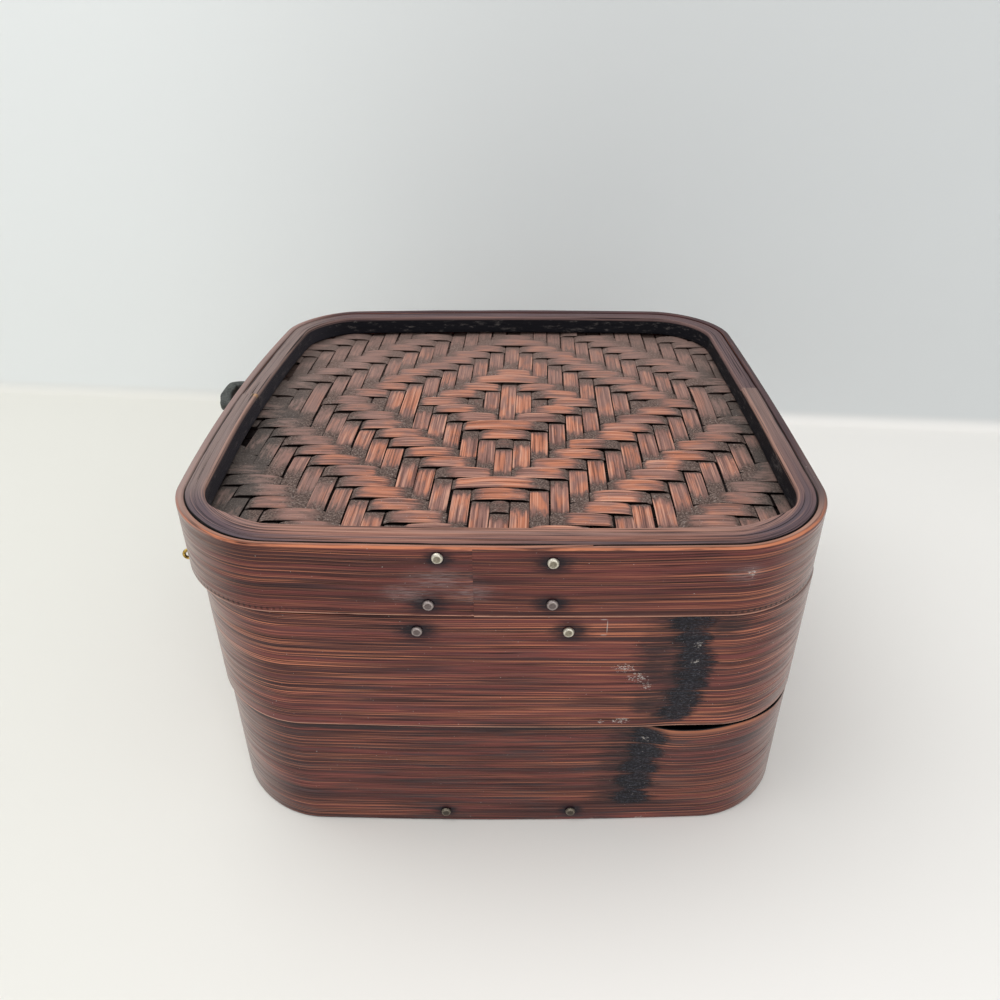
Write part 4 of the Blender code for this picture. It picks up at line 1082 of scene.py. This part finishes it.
def woven_mat(name, body, inset, middle, centre, turn, warp, weft, over, finish, seed, step=WEAVE_STEP):
    """warp and weft are (pitch, width, height above or below, crown). Returns the mat's mesh object."""
    outline = OUTLINES[body]
    random = np.random.default_rng(seed)
    edge = np.stack(outline.at(np.linspace(0, outline.length, 400, endpoint=False), inset), -1)
    cos, sin = math.cos(turn), math.sin(turn)
    local = edge - np.array(centre)
    local = np.stack((local[:, 0] * cos + local[:, 1] * sin, -local[:, 0] * sin + local[:, 1] * cos), -1)
    places, faces, grains, strands, ages, depths, backs = [], [], [], [], [], [], []
    total = 0
    for is_weft in (False, True):
        pitch, width, amount, crown = weft if is_weft else warp
        other = warp[0] if is_weft else weft[0]
        flat = local[:, ::-1] if is_weft else local
        count = math.ceil(LID_WIDTH / pitch)
        for index in range(-count, count + 1):
            wide = width * random.uniform(0.94, 1.03)
            shift = pitch * random.uniform(-0.035, 0.035)
            lean = random.uniform(-0.004, 0.004)
            tone = random.uniform(0, 1)
            low, high = -1.0, 1.0
            for side in (-wide / 2, wide / 2):
                low, high = line_reach(flat, index * pitch + shift + side, low, high)
            if high - low < 4 * MM:
                continue
            along = np.linspace(low, high, max(4, int((high - low) / step)))
            rule = (lambda k: over(k, index)) if is_weft else (lambda k: not over(index, k))
            height, level, free, arch = strip_profile(along, other, rule, amount, crown, index)
            sunk = fade(level, 0.2, -0.3) if is_weft else fade(level, 0.45, -0.1)
            height = height + 0.12 * MM * hills(along / (9 * MM), index + 0.5, seed + 5)
            bend = 0.18 * MM * hills(along / (30 * MM), index + 0.5, seed + 6)
            across = np.array([a for a, _ in TOP_SHAPE])[None] * wide
            thick = np.array([t for _, t in TOP_SHAPE])[None] * STRIP_THICK / 2
            side = index * pitch + shift + lean * along[:, None] + bend[:, None] + across
            run = np.broadcast_to(along[:, None], side.shape)
            x, y = (run, side) if is_weft else (side, run)
            share = across / wide
            z = middle + height[:, None] + thick
            if is_weft:
                z = z + BACK_LIFT * (arch * np.maximum(height, 0) / amount)[:, None] * share
            row_x = centre[0] + x * cos - y * sin
            row_y = centre[1] + x * sin + y * cos
            places.append(np.stack((row_x, row_y, z), -1).reshape(-1, 3))
            rise = free[:, None] - 0.5 * share**2 * (1.2 - arch[:, None])
            ages.append(age_at(row_x, row_y).reshape(-1, 1))
            backs.append(fade(row_y, -15 * MM, 90 * MM).reshape(-1, 1))
            grains.append(np.stack((run, np.broadcast_to(share * WEAVE_WIDTH, side.shape), rise), -1).reshape(-1, 3))
            depths.append(np.broadcast_to(sunk[:, None], side.shape).reshape(-1, 1))
            strands.append(np.full((side.size, 1), tone))
            made = ring_faces(len(along), len(TOP_SHAPE), total)
            faces += made if is_weft else [face[::-1] for face in made]
            total += side.size
    attributes = {"grain": np.concatenate(grains), "strand": np.concatenate(strands), "age": np.concatenate(ages),
                  "sunk": np.concatenate(depths), "back": np.concatenate(backs)}
    return piece(name, np.concatenate(places), faces, attributes, finish)


PANEL_CENTRE = (6.4 * MM, 16.1 * MM)
PANEL_TURN = math.radians(-1.13)
panel_finish = weave_finish("panel_bamboo", 100, 0.55)
panel_middle = (PANEL_BOTTOM + PANEL_TOP) / 2 - 0.2 * MM
panel = woven_mat("lid_panel_weave", "lid", 4.2 * MM, panel_middle, PANEL_CENTRE, PANEL_TURN,
                  (6.60 * MM, 6.15 * MM, 0.26 * MM, 0.3 * MM), (7.37 * MM, 6.55 * MM, 0.45 * MM, 0.62 * MM),
                  diamond_over, panel_finish, 21)
finish_piece(panel, "lid", "woven_bamboo", "lid_woven_panel")
floor_finish = weave_finish("floor_bamboo", 120, 0.2)
for node, body, seed in (("upper_floor", "upper_tier", 22), ("lower_floor", "lower_tier", 23)):
    low, high = (corner.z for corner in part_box(node))
    centre = BODY_PLACES[body][:2]
    mat = woven_mat(node + "_weave", body, 3.0 * MM, (low + high) / 2, centre, BODY_PLACES[body][2],
                    (8.2 * MM, 7.6 * MM, 0.3 * MM, 0.0), (8.2 * MM, 7.6 * MM, 0.3 * MM, 0.0),
                    twill_over, floor_finish, seed, 2.0 * MM)
    finish_piece(mat, body, "woven_bamboo", node)

# %% [markdown]
# Tacks
# Small tacks with low domed heads pin the laps and the hoops. A head could be a plain dome, but the real ones
# are dented: the rim stands up as a bright ring round a duller middle. The head is a turned profile whose
# points are nudged by the random hills, so that no two are alike.

# %% Make the tacks
HEAD_RADIUS = 1.72 * MM
HEAD_RISE = 0.84 * MM
SHANK_RADIUS = 0.55 * MM
TACK_LENGTH = 4.6 * MM
HEAD_LIFT = 0.3 * MM
HEAD_PROFILE = ((0.0, 0.74), (0.14, 0.74), (0.3, 0.78), (0.46, 0.86), (0.6, 0.95), (0.72, 0.98), (0.84, 0.86),
                (0.93, 0.6), (0.985, 0.3), (1.0, 0.0))
HEAD_TURNS = 28


def tack_finish(name, ring_code, middle_code, seed):
    made = Finish(name, metallic=0.85)
    place = made.grain()
    around, up, out = made.parts(place)
    grit = made.noise(place, 0.5, 0.5, 0.5, 4, 0.7, seed)
    ring = made.math("MULTIPLY", made.step(out, 0.9, 1.25), made.step(grit, 0.3, 0.52))
    colour = made.blend(ring, paint(middle_code), paint(ring_code))
    rust = made.step(made.noise(place, 0.8, 0.8, 0.8, 3, 0.6, seed + 1), 0.55, 0.68)
    colour = made.blend(made.math("MULTIPLY", rust, 0.6), colour, paint("4a3a30"))
    made.set("Base Color", colour)
    made.set("Roughness", made.math("MULTIPLY_ADD", grit, 0.5, 0.15))
    made.bump(grit, 0.12 * MM)
    return made.material


def add_tack(node, body, x, height, finish, seed):
    outline = OUTLINES[body]
    place_x, place_y = (float(value) for value in outline.at(x, 0))
    out = outline.normal(x)
    side = Vector((-out.y, out.x, 0))
    turns = np.arange(HEAD_TURNS) * 2 * math.pi / HEAD_TURNS
    profile = [(radius * HEAD_RADIUS, HEAD_LIFT + rise * HEAD_RISE) for radius, rise in HEAD_PROFILE[1:]]
    profile += [(SHANK_RADIUS, HEAD_LIFT), (SHANK_RADIUS, 1.2 * MM - TACK_LENGTH), (0.02 * MM, -TACK_LENGTH)]
    profile = np.array(profile)
    radius = profile[:, 0][:, None] * (1 + 0.035 * hills(turns[None] * 1.6 + 3, seed + 0.5, seed))
    rise = profile[:, 1][:, None] + 0.07 * MM * hills(np.cos(turns)[None] * 2 + 4, np.sin(turns)[None] * 2 + seed, 5)
    rise = np.minimum(rise, HEAD_LIFT + HEAD_RISE)
    across, upward = radius * np.cos(turns), radius * np.sin(turns)
    local = np.stack((across, upward, rise), -1)
    axes = np.array((side, (0, 0, 1), out))
    places = np.array((place_x, place_y, height)) + local @ axes
    faces = [face[::-1] for face in ring_faces(len(profile), HEAD_TURNS)]
    grain = np.stack((across, upward, np.hypot(across, upward)), -1)
    obj = piece(node + "_head", places, faces, {"grain": grain}, finish)
    finish_piece(obj, body, "tack_steel", node)


bright_steel = tack_finish("bright_tack_steel", "dcd6c6", "8d8676", 140)
dull_steel = tack_finish("dull_tack_steel", "a79c98", "6f6462", 150)
old_steel = tack_finish("old_tack_steel", "837a6c", "544d45", 160)
TACKS = (
    ("lid_top_tack_left", "lid", -17.8, LID_TOP - 2.9 * MM, bright_steel),
    ("lid_top_tack_right", "lid", 14.9, LID_TOP - 4.3 * MM, bright_steel),
    ("lid_low_tack_left", "lid", -21.2, LID_BOTTOM + 4.8 * MM, dull_steel),
    ("lid_low_tack_right", "lid", 15.0, LID_BOTTOM + 5.4 * MM, dull_steel),
    ("upper_tack_left", "upper_tier", -27.6, UPPER_TOP - 5.5 * MM, dull_steel),
    ("upper_tack_right", "upper_tier", 17.8, UPPER_TOP - 5.5 * MM, bright_steel),
    ("lower_tack_left", "lower_tier", -23.3, LOWER_BOTTOM + 5.3 * MM, old_steel),
    ("lower_tack_right", "lower_tier", 20.5, LOWER_BOTTOM + 5.3 * MM, old_steel),
)
for number, (node, body, x, height, steel) in enumerate(TACKS):
    add_tack(node, body, x * MM, height, steel, number + 1)

# %% [markdown]
# The strap loop and the brass eye
# On the lid's left wall sits a thick leather strap, bent into a loop with its ends let into the band, and by the
# front left corner a small brass wire eye. The strap's path is seen from above, along the wall and out from
# it. A smooth curve with a rounded rectangle for a profile makes a soft-edged strap, and a round wire is a
# curve with a round profile.

# %% Bend the strap loop
STRAP_THICK = 4.3 * MM
STRAP_HIGH = 3.2 * MM
LOOP_STAND = 2.66 * MM
LOOP_SPAN = 19.0 * MM
LOOP_SLANT = 7.5 * MM
LOOP_DROP = 1.8 * MM
LOOP_MIDDLE_Y = 7.8 * MM


def strap_finish():
    made = Finish("grey_green_leather")
    grain = made.grain()
    spots = made.noise(grain, 1.6, 1.2, 1.2, 4, 0.7, 170)
    base = made.blend(made.step(spots, 0.35, 0.65), paint("1c1f1e"), paint("3f423d"))
    wear = made.step(made.noise(grain, 0.6, 0.5, 0.5, 3, 0.8, 171), 0.6, 0.72)
    made.set("Base Color", made.blend(made.math("MULTIPLY", wear, 0.7), base, paint("7d7f74")))
    made.set("Roughness", made.math("MULTIPLY_ADD", spots, -0.3, 0.75))
    made.bump(spots, 0.3 * MM)
    return made.material


def smooth_path(points, steps=9):
    """Points on a smooth curve through these points."""
    points = [points[0] * 2 - points[1]] + list(points) + [points[-1] * 2 - points[-2]]
    found = []
    for a, b, c, d in zip(points, points[1:], points[2:], points[3:]):
        for share in np.linspace(0, 1, steps, endpoint=False):
            found.append(0.5 * (2 * b + (c - a) * share + (2 * a - 5 * b + 4 * c - d) * share**2
                                + (3 * b - a - 3 * c + d) * share**3))
    return np.array(found + [points[-2]])


def add_strap():
    outline = LID
    walk = side_walk(outline, LOOP_MIDDLE_Y, left=True)
    out = np.array(outline.normal(walk))
    run = np.array((-out[1], out[0], 0))
    place_x, place_y = (float(value) for value in outline.at(walk, 0))
    centre = np.array((place_x, place_y, LID_TOP - LOOP_DROP - STRAP_HIGH / 2))
    half = LOOP_SPAN / 2
    near = 0.3 * MM + STRAP_THICK / 2
    far = near + LOOP_STAND
    bend = 2.0 * MM
    path = smooth_path([np.array(point) for point in (
        (-half, -2.3 * MM), (-half, 0.4 * far), (-half + 0.1 * MM, far - bend), (-half + 0.6 * MM, far - 0.5 * MM),
        (-half + bend, far), (0.0, far), (half - LOOP_SLANT - bend, far), (half - LOOP_SLANT, far - 0.25 * MM),
        (half - LOOP_SLANT * 0.5, (far + near) / 2 - 0.1 * MM), (half - 0.9 * MM, near + 0.4 * MM),
        (half - 0.1 * MM, near - 0.6 * MM), (half, -2.3 * MM))])
    ahead = np.gradient(path, axis=0)
    ahead = ahead / np.linalg.norm(ahead, axis=1)[:, None]
    left = np.stack((-ahead[:, 1], ahead[:, 0]), -1)
    walked = np.concatenate(([0], np.cumsum(np.linalg.norm(np.diff(path, axis=0), axis=1))))
    angles = np.arange(20) * 2 * math.pi / 20
    wide = np.sign(np.cos(angles)) * np.abs(np.cos(angles)) ** 0.45 * STRAP_THICK / 2
    high = np.sign(np.sin(angles)) * np.abs(np.sin(angles)) ** 0.45 * STRAP_HIGH / 2
    squeeze = 1 - 0.05 * np.abs(hills(walked[:, None] / (4 * MM), angles[None] / 2, 31))
    spots = path[:, None, :] + left[:, None, :] * (wide[None] * squeeze)[..., None]
    levels = high[None] * squeeze
    places = centre + spots[..., :1] * run + spots[..., 1:] * out + levels[..., None] * np.array((0, 0, 1))
    grain = np.stack((np.broadcast_to(walked[:, None], levels.shape), levels,
                      np.broadcast_to(wide[None], levels.shape)), -1)
    obj = piece("lid_strap_loop_leather", places, ring_faces(*levels.shape), {"grain": grain}, strap_finish())
    finish_piece(obj, "lid", "leather", "lid_strap_loop")


add_strap()

# %% Bend the brass eye
EYE_HEIGHT = 4.2 * MM
EYE_STAND = 1.8 * MM
EYE_WIRE = 0.55 * MM
EYE_LEG = 4.2 * MM
EYE_RISE = 3.0 * MM
EYE_CORNER_SHARE = 0.15


def brass_finish():
    made = Finish("aged_brass", metallic=1.0)
    place = made.add("TexCoord", output="Object")
    scaled = made.add("VectorMath", {0: place, "Scale": 1 / MM}, operation="SCALE")
    spots = made.noise(scaled, 0.7, 0.7, 0.7, 4, 0.7, 180)
    made.set("Base Color", made.blend(made.step(spots, 0.4, 0.6), paint("6d5522"), paint("cfae5c")))
    made.set("Roughness", made.math("MULTIPLY_ADD", spots, 0.4, 0.15))
    made.bump(spots, 0.05 * MM)
    return made.material


def add_eye():
    corner_length = CORNER_RADII[3] * math.pi / 2
    walk = LID.table[0][-1] - (LID_WIDTH / 2 - CORNER_RADII[3]) - corner_length * (1 - EYE_CORNER_SHARE)
    out = LID.normal(walk)
    place_x, place_y = (float(value) for value in LID.at(walk, 0))
    centre = Vector((place_x, place_y, LID_BOTTOM + EYE_RISE))
    reach = EYE_HEIGHT / 2 - EYE_WIRE
    shoulder = EYE_STAND - EYE_WIRE - reach
    points = [(-reach, -EYE_LEG)]
    points += [(-reach * math.cos(a), shoulder + reach * math.sin(a)) for a in np.linspace(0, math.pi, 25)]
    points.append((reach, -EYE_LEG))
    curve = bpy.data.curves.new("brass_wire", "CURVE")
    curve.dimensions = "3D"
    curve.bevel_depth = EYE_WIRE
    curve.bevel_resolution = 5
    curve.use_fill_caps = True
    spline = curve.splines.new("POLY")
    spline.points.add(len(points) - 1)
    for target, (level, reach_out) in zip(spline.points, points):
        target.co = (*(centre + out * reach_out + Vector((0, 0, level))), 1)
    made = bpy.data.objects.new("brass_wire", curve)
    bpy.context.scene.collection.objects.link(made)
    bpy.context.view_layer.update()
    mesh = bpy.data.meshes.new_from_object(made.evaluated_get(bpy.context.evaluated_depsgraph_get()))
    bpy.data.objects.remove(made)
    obj = bpy.data.objects.new("lid_brass_eye_wire", mesh)
    bpy.context.scene.collection.objects.link(obj)
    mesh.materials.clear()
    mesh.materials.append(brass_finish())
    mesh.shade_smooth()
    mesh.set_sharp_from_angle(angle=SMOOTH_ANGLE)
    finish_piece(obj, "lid", "brass", "lid_brass_eye")


add_eye()

# %% [markdown]
# Table, wall and light
# The basket stands on a pale table with a pale wall close behind it. Both are one bent sheet. The light is
# plain and soft: an even grey world, a wide lamp overhead from behind on the left, and a weaker one in front.
# The sheet's colour carries painted light and shade: the wall is painted brighter and the table darker towards the
# left.

# %% Set up the table, wall and light
TABLE_LEFT = (-281.8, 266.5)
TABLE_RIGHT = (254.3, 220.8)
STAGE_REACH = 1500.0
COVE = 7.0
WALL_HEIGHT = 900.0


def add_stage():
    left, right = Vector(TABLE_LEFT), Vector(TABLE_RIGHT)
    along = (right - left).normalized()
    back = Vector((-along.y, along.x))
    middle = (left + right) / 2
    profile = [(-STAGE_REACH, 0), (-COVE, 0)]
    profile += [(-COVE + COVE * math.sin(a), COVE - COVE * math.cos(a)) for a in np.linspace(0.15, math.pi / 2, 9)]
    profile += [(0, 60), (0, WALL_HEIGHT)]
    rows = []
    for side in (-STAGE_REACH, STAGE_REACH):
        rows.append([(middle + along * side + back * run).to_3d() + Vector((0, 0, up)) for run, up in profile])
    count = len(profile)
    places = [point * MM for row in rows for point in row]
    faces = [(k, k + count, k + count + 1, k + 1) for k in range(count - 1)]
    mesh = bpy.data.meshes.new("table_and_wall")
    mesh.from_pydata(places, [], faces)
    mesh.shade_smooth()
    made = Finish("table_and_wall_paint_and_light", roughness=0.6)
    place = made.add("NewGeometry", output="Position")
    across, _, up = made.parts(place)
    soft = made.noise(place, 0.4, 0.4, 0.4, 3, 0.5, 200)
    # Painted light and shade: brighter wall and darker table towards the left.
    painted_light_leftward = made.step(across, 120 * MM, -260 * MM)
    table = made.blend(painted_light_leftward, made.blend(soft, paint("f1eee9"), paint("edeae5")), paint("dfddd5"))
    wall = made.blend(painted_light_leftward, made.blend(soft, paint("d7dada"), paint("d2d5d5")), paint("eaedec"))
    made.set("Base Color", made.blend(made.step(up, 0.0, 10 * MM), table, wall))
    mesh.materials.append(made.material)
    stage = bpy.data.objects.new("table_and_wall", mesh)
    bpy.context.scene.collection.objects.link(stage)


def add_lamp(name, place, aim, size, power):
    data = bpy.data.lights.new(name, "AREA")
    data.shape = "DISK"
    data.size = size
    data.energy = power
    lamp = bpy.data.objects.new(name, data)
    lamp.location = place
    lamp.rotation_euler = (Vector(aim) - Vector(place)).to_track_quat("-Z", "Y").to_euler()
    bpy.context.scene.collection.objects.link(lamp)


def add_light():
    world = bpy.data.worlds.new("even_light")
    world.use_nodes = True
    shade = world.node_tree.nodes["Background"]
    shade.inputs["Color"].default_value = (0.96, 0.98, 1.0, 1)
    shade.inputs["Strength"].default_value = 0.74
    bpy.context.scene.world = world
    add_lamp("overhead_lamp", (-0.55, 0.1, 1.2), (0, 0, 0.05), 1.3, 9)
    add_lamp("front_lamp", (0.35, -1.1, 0.8), (0, 0, 0.05), 0.8, 4)


add_stage()
add_light()
bpy.context.scene.view_settings.view_transform = "Standard"
